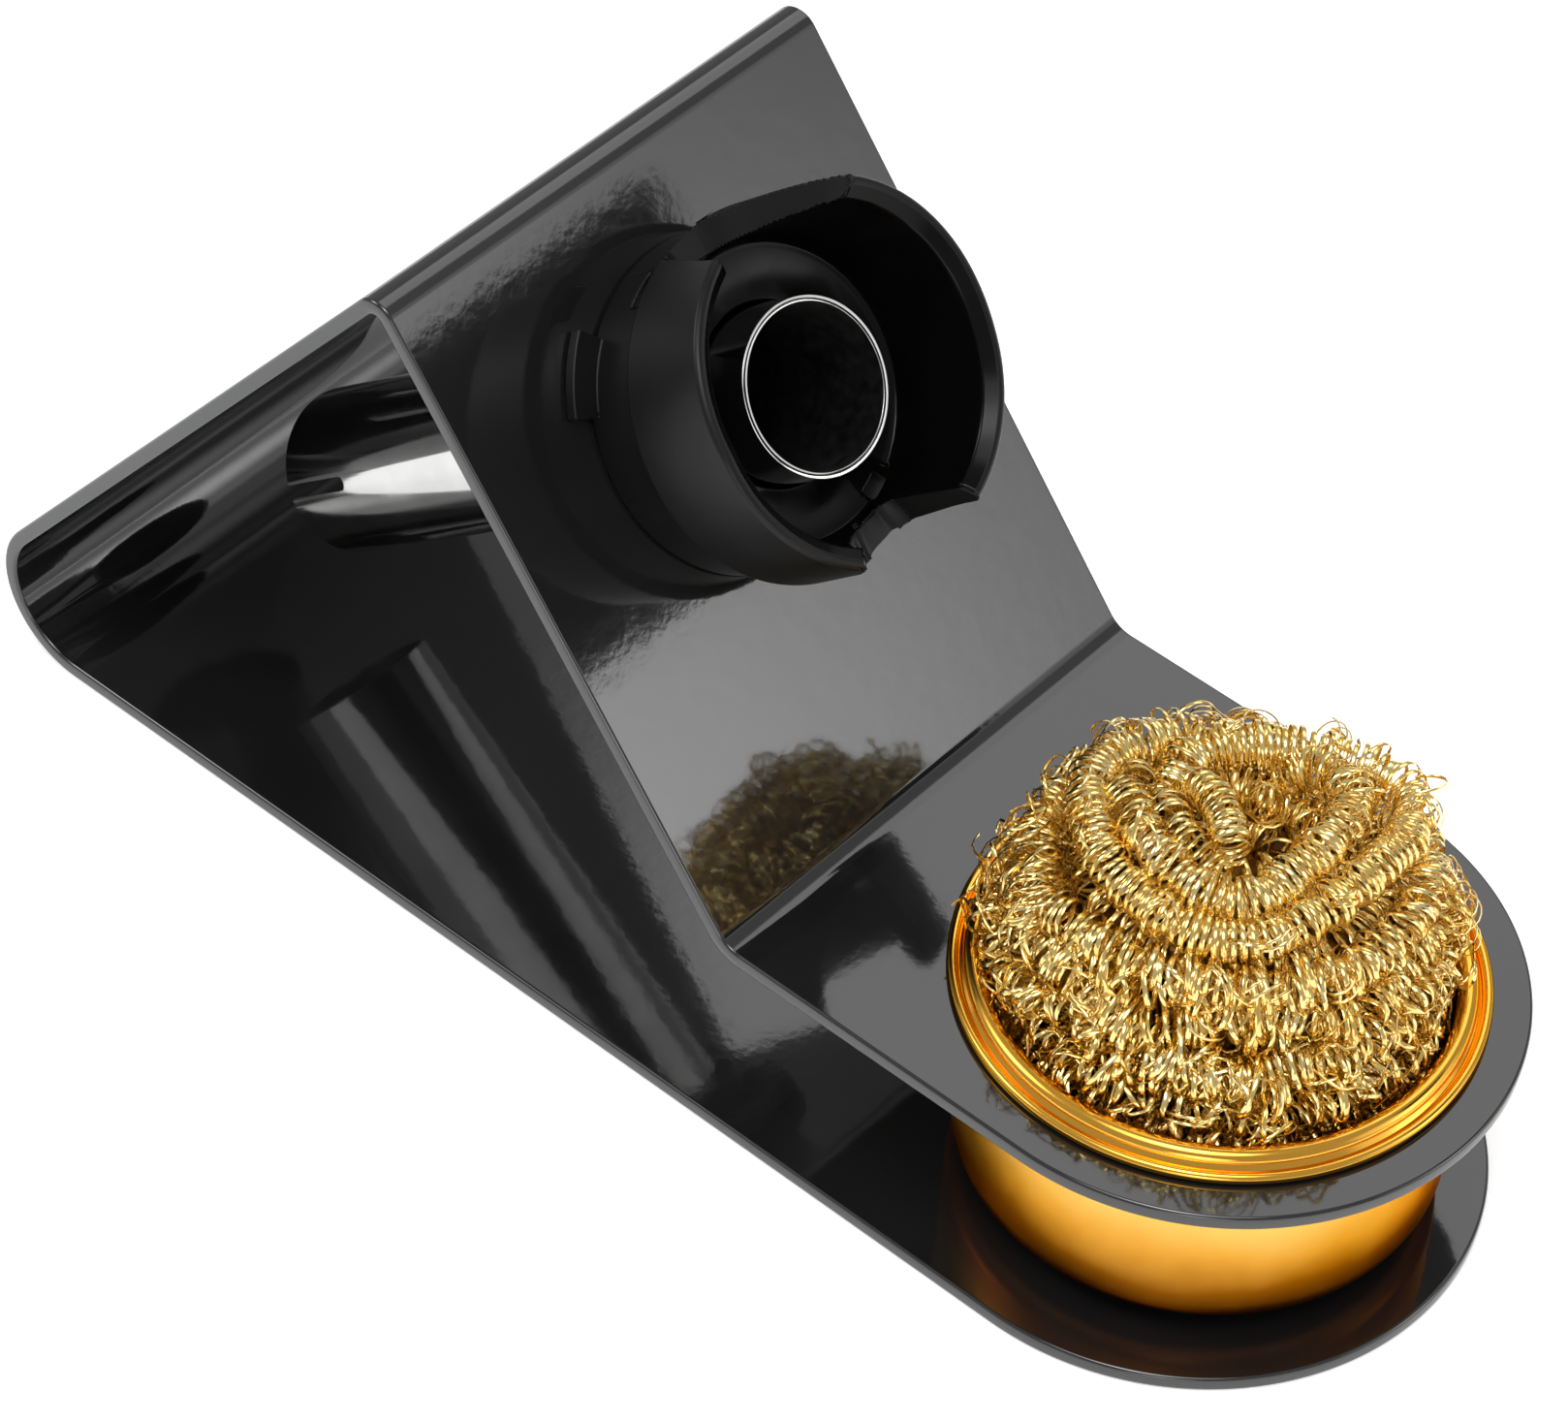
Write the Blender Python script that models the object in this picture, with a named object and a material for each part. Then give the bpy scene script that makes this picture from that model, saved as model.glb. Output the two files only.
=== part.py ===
"""Soldering iron stand: a bent steel stand, a plastic iron holder with its steel guide tube, and a tin of
brass wool.  Metres, +Z up, +X forward (towards the tin), the stand resting on z = 0."""

import math

import bmesh
import bpy
import numpy as np
from mathutils import Matrix, Vector

MM = 0.001
GAP = 0.3 * MM  # clearance left between pieces that touch in the real stand

# --- driving dimensions of the stand body (one bent strip of steel sheet) ---
SHEET_WIDTH = 70.0 * MM
SHEET_THICKNESS = 2.0 * MM
SHELF_TOP = 31.2 * MM
FRONT_ANGLE = math.radians(50.0)  # front plate, from the horizontal
REAR_ANGLE = math.radians(52.0)  # rear plate, from the horizontal
TIN_X = 62.1 * MM  # axis of the tin and of the shelf's round end
BASE_END_X = TIN_X - 1.3 * MM  # centre of the base's round end
SHELF_BEND_X = TIN_X - 42.5 * MM  # where the shelf's top meets the front plate's face
RIDGE_X = TIN_X - 96.5 * MM  # where the outer faces of both plates would meet
REAR_BEND_RADIUS = 10.5 * MM  # the three bend radii are those of the sheet's middle
RIDGE_BEND_RADIUS = 2.2 * MM
SHELF_BEND_RADIUS = 5.0 * MM

# --- driving dimensions of the iron holder; h runs outwards from the front plate's face ---
HOLDER_UP_SLOPE = 50.3 * MM  # holder axis, measured up the front plate from the shelf bend
HOLDER_RIM_HEIGHT = 23.4 * MM
HOLDER_RIM_RADIUS = 20.95 * MM
HOLDER_BAND_RADIUS = 21.5 * MM
HOLDER_BAND_FOOT = 9.4 * MM
HOLDER_SKIRT_RADIUS = 19.6 * MM
HOLDER_FLOOR = 8.0 * MM
HOLDER_WALL = 2.5 * MM
NOTCH_FLOOR = 9.6 * MM
NOTCH_RAMP = (-32.0, 6.0)  # degrees from straight up the slope, towards the near side
NOTCH_STEEP_SIDE = 20.5
SPIGOT_RADIUS = 13.0 * MM
SPIGOT_LENGTH = 9.0 * MM  # below the front plate's face
LOCK_RING_RADIUS = 18.0 * MM
LOCK_RING_THICKNESS = 3.0 * MM

# --- driving dimensions of the guide tube ---
TUBE_RADIUS = 10.2 * MM
TUBE_WALL = 0.7 * MM
TUBE_FRONT = 15.7 * MM  # height of the tube's front end above the front plate's face
TUBE_REAR = -76.3 * MM
TUBE_SLOT_WIDTH = 1.8 * MM
TUBE_SLOT_LENGTH = 11.8 * MM
TUBE_SLOT_TURN = math.radians(76.5)  # from straight up the slope, towards the near side

# --- driving dimensions of the tin and its wool ---
TIN_RADIUS = 28.4 * MM
TIN_HOLE_GAP = 0.5 * MM  # between the tin and its hole in the shelf
TIN_WALL = 0.7 * MM
TIN_FLANGE_RADIUS = 30.5 * MM
TIN_BOTTOM = 3.8 * MM
TIN_CORNER = 4.0 * MM
TIN_ROLL_RADIUS = 1.2 * MM
WOOL_RADIUS = 28.0 * MM
WOOL_RISE = 23.0 * MM  # top of the wool above the shelf

CIRCLE_STEPS = 64


# ---------------------------------------------------------------- helpers
def clear_scene():
    for old in list(bpy.data.objects):
        bpy.data.objects.remove(old, do_unlink=True)


def make_material(name, colour, roughness, metallic):
    material = bpy.data.materials.new(name)
    material.use_nodes = True
    shader = material.node_tree.nodes["Principled BSDF"]
    shader.inputs["Base Color"].default_value = (*colour, 1.0)
    shader.inputs["Roughness"].default_value = roughness
    shader.inputs["Metallic"].default_value = metallic
    return material


def add_object(name, mesh_build, material=None):
    """Link an object for a finished bmesh, its normals facing out."""
    bmesh.ops.recalc_face_normals(mesh_build, faces=mesh_build.faces)
    mesh = bpy.data.meshes.new(name)
    mesh_build.to_mesh(mesh)
    mesh_build.free()
    item = bpy.data.objects.new(name, mesh)
    bpy.context.scene.collection.objects.link(item)
    if material:
        mesh.materials.append(material)
    return item


def smooth(item, angle=35.0):
    item.data.shade_smooth()
    item.data.set_sharp_from_angle(angle=math.radians(angle))


def cut(item, cutter, operation="DIFFERENCE"):
    """Add an exact Boolean; the cutter stays as a hidden wire object."""
    cutter.hide_render = True
    cutter.display_type = "WIRE"
    boolean = item.modifiers.new(cutter.name, "BOOLEAN")
    boolean.operation = operation
    boolean.solver = "EXACT"
    boolean.object = cutter


def revolve(name, outline, frame, material=None, steps=CIRCLE_STEPS):
    """Turn a closed (radius, height) outline about the Z axis of a frame.

    A point with radius 0 lies on the axis and is shared by all steps.
    """
    build = bmesh.new()
    rings = []
    for radius, height in outline:
        if radius < 1e-9:
            rings.append([build.verts.new(frame @ Vector((0.0, 0.0, height)))])
            continue
        ring = []
        for step in range(steps):
            angle = 2.0 * math.pi * step / steps
            local = Vector((radius * math.cos(angle), radius * math.sin(angle), height))
            ring.append(build.verts.new(frame @ local))
        rings.append(ring)
    for lower, upper in zip(rings, rings[1:] + rings[:1]):
        if len(lower) == 1 and len(upper) == 1:
            continue
        for step in range(steps):
            after = (step + 1) % steps
            corners = [lower[step % len(lower)], lower[after % len(lower)]]
            corners += [upper[after % len(upper)], upper[step % len(upper)]]
            build.faces.new(list(dict.fromkeys(corners)))
    return add_object(name, build, material)


def prism(name, outline, length, frame):
    """Extrude a closed outline in the frame's XY plane along the frame's +Z."""
    build = bmesh.new()
    low = [build.verts.new(frame @ Vector((x, y, 0.0))) for x, y in outline]
    high = [build.verts.new(frame @ Vector((x, y, length))) for x, y in outline]
    build.faces.new(low)
    build.faces.new(high)
    for i in range(len(outline)):
        after = (i + 1) % len(outline)
        build.faces.new((low[i], low[after], high[after], high[i]))
    return add_object(name, build)


def arc(centre, radius, start, end, steps):
    """Points of an arc, angles in degrees."""
    points = []
    for step in range(steps + 1):
        angle = math.radians(start + (end - start) * step / steps)
        points.append((centre[0] + radius * math.cos(angle), centre[1] + radius * math.sin(angle)))
    return points


def circle(radius):
    """Points of a full circle about the origin, the last one a step short of the first."""
    last = 360.0 * (CIRCLE_STEPS - 1) / CIRCLE_STEPS
    return arc((0.0, 0.0), radius, 0.0, last, CIRCLE_STEPS - 1)


# ---------------------------------------------------------------- stand body
def rounded_path(corners, radii, steps):
    """(point, forward direction) pairs along a bent line in the XZ plane."""
    path = [(corners[0], (corners[1] - corners[0]).normalized())]
    for i, radius in enumerate(radii, start=1):
        arriving = (corners[i] - corners[i - 1]).normalized()
        leaving = (corners[i + 1] - corners[i]).normalized()
        turn = arriving.angle_signed(leaving)
        setback = radius * math.tan(abs(turn) / 2.0)
        start = corners[i] - arriving * setback
        side = Vector((arriving.y, -arriving.x)) * math.copysign(1.0, turn)
        centre = start + side * radius
        for step in range(steps[i - 1] + 1):
            angle = -turn * step / steps[i - 1]
            turned = Matrix.Rotation(angle, 2)
            path.append((centre - turned @ side * radius, turned @ arriving))
    path.append((corners[-1], (corners[-1] - corners[-2]).normalized()))
    return path


def strip_rows():
    """Rows of the strip: middle point, forward direction and half width."""
    half = SHEET_THICKNESS / 2.0
    shelf_middle = SHELF_TOP - half
    ridge_z = SHELF_TOP + (SHELF_BEND_X - RIDGE_X) * math.tan(FRONT_ANGLE)
    # corners of the middle surface, half a thickness inside the outer faces
    front_normal = Vector((math.sin(FRONT_ANGLE), math.cos(FRONT_ANGLE)))
    rear_normal = Vector((-math.sin(REAR_ANGLE), math.cos(REAR_ANGLE)))
    ridge_outer = Vector((RIDGE_X, ridge_z))
    on_front = ridge_outer - front_normal * half
    on_rear = ridge_outer - rear_normal * half
    down_front = Vector((math.cos(FRONT_ANGLE), -math.sin(FRONT_ANGLE)))
    down_rear = Vector((-math.cos(REAR_ANGLE), -math.sin(REAR_ANGLE)))
    shelf_corner = on_front + down_front * ((on_front.y - shelf_middle) / math.sin(FRONT_ANGLE))
    base_corner = on_rear + down_rear * ((on_rear.y - half) / math.sin(REAR_ANGLE))
    apex = np.linalg.solve(
        np.array([[down_front.x, -down_rear.x], [down_front.y, -down_rear.y]]),
        np.array(on_rear - on_front),
    )
    ridge_corner = on_front + down_front * float(apex[0])

    base_end = Vector((BASE_END_X, half))
    shelf_end = Vector((TIN_X, shelf_middle))
    corners = [base_end, base_corner, ridge_corner, shelf_corner, shelf_end]
    radii = (REAR_BEND_RADIUS, RIDGE_BEND_RADIUS, SHELF_BEND_RADIUS)
    path = rounded_path(corners, radii, steps=(14, 10, 6))

    half_width = SHEET_WIDTH / 2.0
    end_steps = 24
    rows = []
    for step in range(end_steps):  # round end of the base, from its tip backwards
        angle = math.pi / 2.0 * step / end_steps
        tip = Vector((BASE_END_X + half_width * math.cos(angle), half))
        rows.append((tip, Vector((-1.0, 0.0)), half_width * math.sin(angle)))
    rows += [(point, forward, half_width) for point, forward in path]
    for step in range(1, end_steps + 1):  # round end of the shelf, forwards to its tip
        angle = math.pi / 2.0 * step / end_steps
        tip = Vector((TIN_X + half_width * math.sin(angle), shelf_middle))
        rows.append((tip, Vector((1.0, 0.0)), max(0.0, half_width * math.cos(angle))))
    return rows


def build_stand_body(material, holder_frame):
    half = SHEET_THICKNESS / 2.0
    build = bmesh.new()
    grid = []
    for middle, forward, half_width in strip_rows():
        side = Vector((forward.y, -forward.x)) * half
        row = []
        for offset in (side, -side):
            sides = (-1.0, 1.0) if half_width > 1e-9 else (0.0,)
            for sign in sides:
                place = Vector((middle.x + offset.x, sign * half_width, middle.y + offset.y))
                row.append(build.verts.new(place))
        grid.append(row if len(row) == 4 else [row[0], row[0], row[1], row[1]])
    for here, there in zip(grid, grid[1:]):
        for a, b in ((0, 1), (1, 3), (3, 2), (2, 0)):
            corners = list(dict.fromkeys([here[a], here[b], there[b], there[a]]))
            if len(corners) > 2:
                build.faces.new(corners)
    body = add_object("stand_body", build, material)

    tall = 4.0 * SHEET_THICKNESS
    shelf_frame = Matrix.Translation((TIN_X, 0.0, SHELF_TOP - tall / 2.0))
    cut(body, prism("cut_tin_hole", circle(TIN_RADIUS + TIN_HOLE_GAP), tall, shelf_frame))
    plate_frame = holder_frame @ Matrix.Translation((0.0, 0.0, -tall / 2.0))
    cut(body, prism("cut_holder_hole", circle(SPIGOT_RADIUS + GAP), tall, plate_frame))
    smooth(body)
    return body


# ---------------------------------------------------------------- iron holder
def holder_frame():
    """Frame on the front plate's face: Z out of the plate, X up the slope, Y to the near side."""
    up = Vector((-math.cos(FRONT_ANGLE), 0.0, math.sin(FRONT_ANGLE)))
    out = Vector((math.sin(FRONT_ANGLE), 0.0, math.cos(FRONT_ANGLE)))
    across = out.cross(up)
    place = Vector((SHELF_BEND_X, 0.0, SHELF_TOP)) + up * HOLDER_UP_SLOPE
    axes = Matrix((up, across, out)).transposed().to_4x4()
    return Matrix.Translation(place) @ axes


def notch_outline():
    """Notch in the rim as (degrees, height): a long hollow ramp down, then a short steep side."""
    drop = HOLDER_RIM_HEIGHT - NOTCH_FLOOR
    start, end = NOTCH_RAMP
    steps = 8
    open_top = HOLDER_RIM_HEIGHT + 3.0 * MM
    outline = [(NOTCH_STEEP_SIDE + 1.0, open_top), (start - 2.5, open_top)]
    for step in range(steps + 1):
        part = step / steps
        outline.append((start + (end - start) * part, NOTCH_FLOOR + drop * (1.0 - part) ** 2))
    # the floor turns up into the steep side through a quarter ellipse
    corner_width, corner_height = 6.0, 2.6 * MM
    foot = NOTCH_STEEP_SIDE - 2.5
    for point_x, point_z in arc((0.0, 0.0), 1.0, -90.0, 0.0, 5):
        angle = foot - corner_width * (1.0 - point_x)
        outline.append((angle, NOTCH_FLOOR + corner_height * (1.0 + point_z)))
    outline.append((NOTCH_STEEP_SIDE, HOLDER_RIM_HEIGHT))
    return outline


def radial_block(name, outline, radii, frame):
    """A block with radial sides, from a closed outline of (degrees, height)."""
    build = bmesh.new()
    rings = []
    for radius in radii:
        ring = []
        for degrees, height in outline:
            angle = math.radians(degrees)
            local = Vector((radius * math.cos(angle), radius * math.sin(angle), height))
            ring.append(build.verts.new(frame @ local))
        rings.append(ring)
    inner, outer = rings
    build.faces.new(inner)
    build.faces.new(outer)
    for i in range(len(outline)):
        after = (i + 1) % len(outline)
        build.faces.new((inner[i], inner[after], outer[after], outer[i]))
    return add_object(name, build)


def build_iron_holder(material, frame):
    seat = GAP
    rim = HOLDER_RIM_HEIGHT
    bore = TUBE_RADIUS + GAP
    inside = HOLDER_SKIRT_RADIUS - HOLDER_WALL
    outline = [
        (HOLDER_SKIRT_RADIUS, seat),
        (HOLDER_SKIRT_RADIUS + 0.5 * MM, HOLDER_BAND_FOOT - 0.9 * MM),
        (HOLDER_BAND_RADIUS - 0.5 * MM, HOLDER_BAND_FOOT),
        (HOLDER_BAND_RADIUS, HOLDER_BAND_FOOT + 0.5 * MM),
        (HOLDER_RIM_RADIUS, rim - 0.5 * MM),
        (HOLDER_RIM_RADIUS - 0.5 * MM, rim),
        (HOLDER_RIM_RADIUS - 1.0 * MM, rim),
        (HOLDER_RIM_RADIUS - 2.6 * MM, rim - 1.2 * MM),
        (HOLDER_RIM_RADIUS - 3.2 * MM, HOLDER_FLOOR + 1.6 * MM),
        (HOLDER_RIM_RADIUS - 3.8 * MM, HOLDER_FLOOR + 0.4 * MM),
        (HOLDER_RIM_RADIUS - 4.6 * MM, HOLDER_FLOOR),
        (bore, HOLDER_FLOOR),
        (bore, -SPIGOT_LENGTH),
        (SPIGOT_RADIUS, -SPIGOT_LENGTH),
        (SPIGOT_RADIUS, HOLDER_FLOOR - HOLDER_WALL),
        (inside, HOLDER_FLOOR - HOLDER_WALL),
        (inside, seat),
    ]
    holder = revolve("iron_holder", outline, frame, material)

    # two equal notches, half a turn apart, leave two lobes
    for label, turn in (("upper", 0.0), ("lower", math.pi)):
        place = frame @ Matrix.Rotation(turn, 4, "Z")
        radii = (SPIGOT_RADIUS, 1.3 * HOLDER_BAND_RADIUS)
        cut(holder, radial_block(f"cut_{label}_notch", notch_outline(), radii, place))

    # small windows under the band, one each side, near the steep ends of the two lobes
    for label, turn in (("near", 0.0), ("far", math.pi)):
        place = frame @ Matrix.Rotation(turn, 4, "Z")
        radii = (SPIGOT_RADIUS + 3.0 * MM, 26.0 * MM)
        cut(holder, sector(f"cut_{label}_window", (17.3, 31.3), radii, (5.9 * MM, 8.7 * MM), place))

    # flat lugs at the foot of the skirt, for turning the holder into its hole
    for label, turn in (("near", 0.0), ("far", math.pi)):
        place = frame @ Matrix.Rotation(turn, 4, "Z")
        radii = (HOLDER_SKIRT_RADIUS - 1.0 * MM, 23.0 * MM)
        lug = sector(f"join_{label}_lug", (40.3, 65.9), radii, (seat, seat + 1.6 * MM), place)
        cut(holder, lug, "UNION")
    smooth(holder)
    return holder


def sector(name, angles, radii, heights, frame):
    """A block bounded by two angles (degrees), two radii and two heights."""
    outline = arc((0.0, 0.0), radii[1], angles[0], angles[1], 6)
    outline += arc((0.0, 0.0), radii[0], angles[1], angles[0], 6)
    place = frame @ Matrix.Translation((0.0, 0.0, heights[0]))
    return prism(name, outline, heights[1] - heights[0], place)


def build_lock_ring(material, frame):
    top = -SHEET_THICKNESS - GAP
    inner = SPIGOT_RADIUS + GAP
    outline = [
        (inner, top),
        (inner, top - LOCK_RING_THICKNESS),
        (LOCK_RING_RADIUS - 0.5 * MM, top - LOCK_RING_THICKNESS),
        (LOCK_RING_RADIUS, top - LOCK_RING_THICKNESS + 0.5 * MM),
        (LOCK_RING_RADIUS, top),
    ]
    ring = revolve("holder_lock_ring", outline, frame, material)
    smooth(ring)
    return ring


def build_guide_tube(material, frame):
    outline = [
        (TUBE_RADIUS, TUBE_REAR),
        (TUBE_RADIUS, TUBE_FRONT),
        (TUBE_RADIUS - TUBE_WALL, TUBE_FRONT),
        (TUBE_RADIUS - TUBE_WALL, TUBE_REAR),
    ]
    tube = revolve("guide_tube", outline, frame, material)
    # slot open at the rear end, with a round inner end
    half = TUBE_SLOT_WIDTH / 2.0
    inner_end = TUBE_REAR + TUBE_SLOT_LENGTH - half
    outline = [(TUBE_REAR - 2.0 * MM, half), (TUBE_REAR - 2.0 * MM, -half)]
    outline += arc((inner_end, 0.0), half, -90.0, 90.0, 8)
    upright = Matrix(((0, 0, 1, 0), (0, 1, 0, 0), (1, 0, 0, 0), (0, 0, 0, 1)))
    place = frame @ Matrix.Rotation(TUBE_SLOT_TURN, 4, "Z") @ upright
    place = place @ Matrix.Translation((0.0, 0.0, TUBE_RADIUS - 3.0 * TUBE_WALL))
    cut(tube, prism("cut_tube_slot", outline, 6.0 * TUBE_WALL, place))
    smooth(tube)
    return tube


# ---------------------------------------------------------------- tin and wool
def build_wool_tin(material):
    """Deep-drawn cup whose rolled lip and beaded flange rest on the shelf."""
    seat = SHELF_TOP + GAP
    inner = TIN_RADIUS - TIN_WALL
    bottom = TIN_BOTTOM
    roll_centre = (inner - 0.1 * MM, seat + 1.2 * MM)
    outline = [(0.0, bottom)]
    outline += arc((TIN_RADIUS - TIN_CORNER, bottom + TIN_CORNER), TIN_CORNER, -90.0, 0.0, 5)
    outline += [
        (TIN_RADIUS, seat),
        (TIN_FLANGE_RADIUS, seat),
        (TIN_FLANGE_RADIUS, seat + 0.4 * MM),
        (TIN_FLANGE_RADIUS - 0.4 * MM, seat + 0.95 * MM),
        (TIN_FLANGE_RADIUS - 0.9 * MM, seat + 1.05 * MM),
        (TIN_FLANGE_RADIUS - 1.4 * MM, seat + 0.75 * MM),
    ]
    outline += arc(roll_centre, TIN_ROLL_RADIUS, 10.0, 200.0, 8)
    outline += [(inner, seat - 0.6 * MM)]
    corner = TIN_CORNER - TIN_WALL
    outline += arc((inner - corner, bottom + TIN_CORNER), corner, 0.0, -90.0, 4)
    outline += [(0.0, bottom + TIN_WALL)]
    tin = revolve("wool_tin", outline, Matrix.Translation((TIN_X, 0.0, 0.0)), material)
    smooth(tin)
    return tin


def build_brass_wool(material):
    """Plug of wool: straight inside the tin, then swelling over the lip to a domed top."""
    lip_top = SHELF_TOP + GAP + 2.4 * MM
    inner = TIN_RADIUS - TIN_WALL - 0.1 * MM - TIN_ROLL_RADIUS - GAP
    floor = TIN_BOTTOM + TIN_WALL + GAP
    foot = inner - 3.0 * MM
    top = SHELF_TOP + WOOL_RISE
    outline = [
        (0.0, floor),
        (foot, floor),
        (inner, floor + 5.0 * MM),
        (inner, lip_top + GAP),
        (WOOL_RADIUS, lip_top + 2.6 * MM),
        (WOOL_RADIUS, lip_top + 8.0 * MM),
        (WOOL_RADIUS - 1.4 * MM, top - 7.5 * MM),
        (WOOL_RADIUS - 3.8 * MM, top - 3.4 * MM),
        (WOOL_RADIUS - 7.2 * MM, top - 0.9 * MM),
        (WOOL_RADIUS - 11.0 * MM, top),
        (0.0, top),
    ]
    wool = revolve("brass_wool", outline, Matrix.Translation((TIN_X, 0.0, 0.0)), material, steps=48)
    smooth(wool)
    return wool


def main():
    clear_scene()
    frame = holder_frame()
    build_stand_body(make_material("grey_powder_coat", (0.045, 0.046, 0.048), 0.22, 0.0), frame)
    build_iron_holder(make_material("black_plastic", (0.012, 0.012, 0.013), 0.4, 0.0), frame)
    build_lock_ring(make_material("black_ring_plastic", (0.014, 0.014, 0.015), 0.5, 0.0), frame)
    build_guide_tube(make_material("polished_steel", (0.62, 0.62, 0.61), 0.12, 1.0), frame)
    build_wool_tin(make_material("gold_anodised_aluminium", (0.75, 0.36, 0.05), 0.28, 1.0))
    build_brass_wool(make_material("brass_ribbon", (0.75, 0.55, 0.24), 0.35, 1.0))


main()
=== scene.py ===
"""Looks of the soldering iron stand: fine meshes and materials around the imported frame.

Metres, the frame's own axes: +X towards the tin, -Y the near side, +Z up, the stand resting on z = 0.
"""

import math
from collections import defaultdict

import bmesh
import bpy
import numpy as np
from mathutils import Matrix, Vector


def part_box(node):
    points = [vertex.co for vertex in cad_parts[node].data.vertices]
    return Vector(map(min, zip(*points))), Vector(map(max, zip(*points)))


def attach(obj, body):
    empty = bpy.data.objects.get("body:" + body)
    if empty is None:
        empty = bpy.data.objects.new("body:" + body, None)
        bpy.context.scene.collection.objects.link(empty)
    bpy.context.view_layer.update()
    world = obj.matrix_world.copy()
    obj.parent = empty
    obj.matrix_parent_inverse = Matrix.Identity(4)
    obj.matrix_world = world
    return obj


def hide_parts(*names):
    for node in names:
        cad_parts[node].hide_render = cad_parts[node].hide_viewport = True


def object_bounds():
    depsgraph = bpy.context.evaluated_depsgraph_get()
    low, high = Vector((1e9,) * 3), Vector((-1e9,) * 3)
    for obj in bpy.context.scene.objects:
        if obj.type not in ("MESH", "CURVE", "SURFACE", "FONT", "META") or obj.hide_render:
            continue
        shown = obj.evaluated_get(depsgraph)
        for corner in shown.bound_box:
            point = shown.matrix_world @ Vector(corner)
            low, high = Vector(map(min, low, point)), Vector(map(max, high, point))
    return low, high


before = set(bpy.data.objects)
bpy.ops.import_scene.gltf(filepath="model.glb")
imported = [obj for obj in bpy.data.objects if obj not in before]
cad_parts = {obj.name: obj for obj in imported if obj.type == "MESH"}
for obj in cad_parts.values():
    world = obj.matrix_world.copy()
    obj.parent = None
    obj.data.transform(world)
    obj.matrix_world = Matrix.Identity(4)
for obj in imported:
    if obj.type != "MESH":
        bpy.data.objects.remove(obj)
cad_low, cad_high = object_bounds()

MM = 0.001

# --- places read from the frame ---
body_low, body_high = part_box("stand_body")
tin_low, tin_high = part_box("wool_tin")

SHEET_WIDTH = body_high.y - body_low.y
TIN_X = (tin_low.x + tin_high.x) / 2.0
TIN_FLANGE_RADIUS = (tin_high.x - tin_low.x) / 2.0
TIN_BOTTOM = tin_low.z

# --- the photograph's camera, fitted to the sheet's edges ---
VIEW_AZIMUTH = math.radians(38.293)
VIEW_ELEVATION = math.radians(45.795)
VIEW_ROLL = math.radians(3.929)
VIEW_DISTANCE = 683.6  # this, the lens and the sensor in millimetres
VIEW_LENS = 136.76
SENSOR_WIDTH = 36.0

# --- shape of the bent sheet ---
SHEET_THICKNESS = 2.0 * MM
SHELF_TOP = 31.2 * MM
FRONT_ANGLE = math.radians(50.0)
REAR_ANGLE = math.radians(52.0)
BASE_END_X = TIN_X - 1.3 * MM
SHELF_BEND_X = TIN_X - 42.5 * MM
RIDGE_X = TIN_X - 96.5 * MM
BEND_RADII = (10.5 * MM, 2.2 * MM, 5.0 * MM)  # rear, ridge, shelf; at the sheet's middle
EDGE_ROUNDING = 0.45 * MM  # the coating rounds off the cut edges

# --- shape of the iron holder: heights from the front plate's face, turns in degrees ---
HOLDER_UP_SLOPE = 50.3 * MM
HOLDER_RIM_HEIGHT = 23.4 * MM
HOLDER_RIM_RADIUS = 20.95 * MM
HOLDER_BAND_RADIUS = 21.5 * MM
HOLDER_BAND_FOOT = 9.4 * MM
HOLDER_SKIRT_RADIUS = 19.6 * MM
HOLDER_FLOOR = 8.0 * MM
HOLDER_WALL = 2.5 * MM
NOTCH_FLOOR = 9.6 * MM
NOTCH_RAMP = (-32.0, 6.0)  # from straight up the slope, towards the near side
NOTCH_STEEP_SIDE = 20.5
NOTCH_CORNER = (6.0, 2.6 * MM)  # turn and height of the curve from the floor into the steep side
WINDOW_ANGLES = (17.3, 31.3)
WINDOW_HEIGHTS = (5.9 * MM, 8.7 * MM)
LUG_ANGLES = (40.3, 65.9)
LUG_RADIUS = 23.0 * MM
LUG_THICKNESS = 1.6 * MM
SPIGOT_RADIUS = 13.0 * MM
SPIGOT_LENGTH = 9.0 * MM

TUBE_RADIUS = 10.2 * MM
TUBE_WALL = 0.7 * MM
TUBE_FRONT = 15.7 * MM
TUBE_REAR = -76.3 * MM
TUBE_SLOT_WIDTH = 1.8 * MM
TUBE_SLOT_LENGTH = 11.8 * MM
TUBE_SLOT_TURN = math.radians(76.5)

LOCK_RING_RADIUS = 18.0 * MM
LOCK_RING_THICKNESS = 3.0 * MM

TIN_RADIUS = TIN_FLANGE_RADIUS - 2.1 * MM
TIN_WALL = 0.7 * MM
TIN_CORNER = 4.0 * MM
TIN_ROLL_RADIUS = 1.2 * MM
TIN_HOLE_GAP = 0.5 * MM
GAP = 0.3 * MM  # between pieces that don't touch

ROUND_STEPS = 192


# ---------------------------- mesh helpers
def finished(name, build, material=None, sharp_angle=30.0):
    """Link an object for a finished bmesh, smooth except at sharp edges."""
    bmesh.ops.recalc_face_normals(build, faces=build.faces)
    mesh = bpy.data.meshes.new(name)
    build.to_mesh(mesh)
    build.free()
    mesh.shade_smooth()
    mesh.set_sharp_from_angle(angle=math.radians(sharp_angle))
    item = bpy.data.objects.new(name, mesh)
    bpy.context.scene.collection.objects.link(item)
    if material:
        mesh.materials.append(material)
    return item


def arc(centre, radius, start, end, steps):
    """Points of an arc, angles in degrees."""
    points = []
    for step in range(steps + 1):
        angle = math.radians(start + (end - start) * step / steps)
        points.append((centre[0] + radius * math.cos(angle), centre[1] + radius * math.sin(angle)))
    return points


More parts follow.
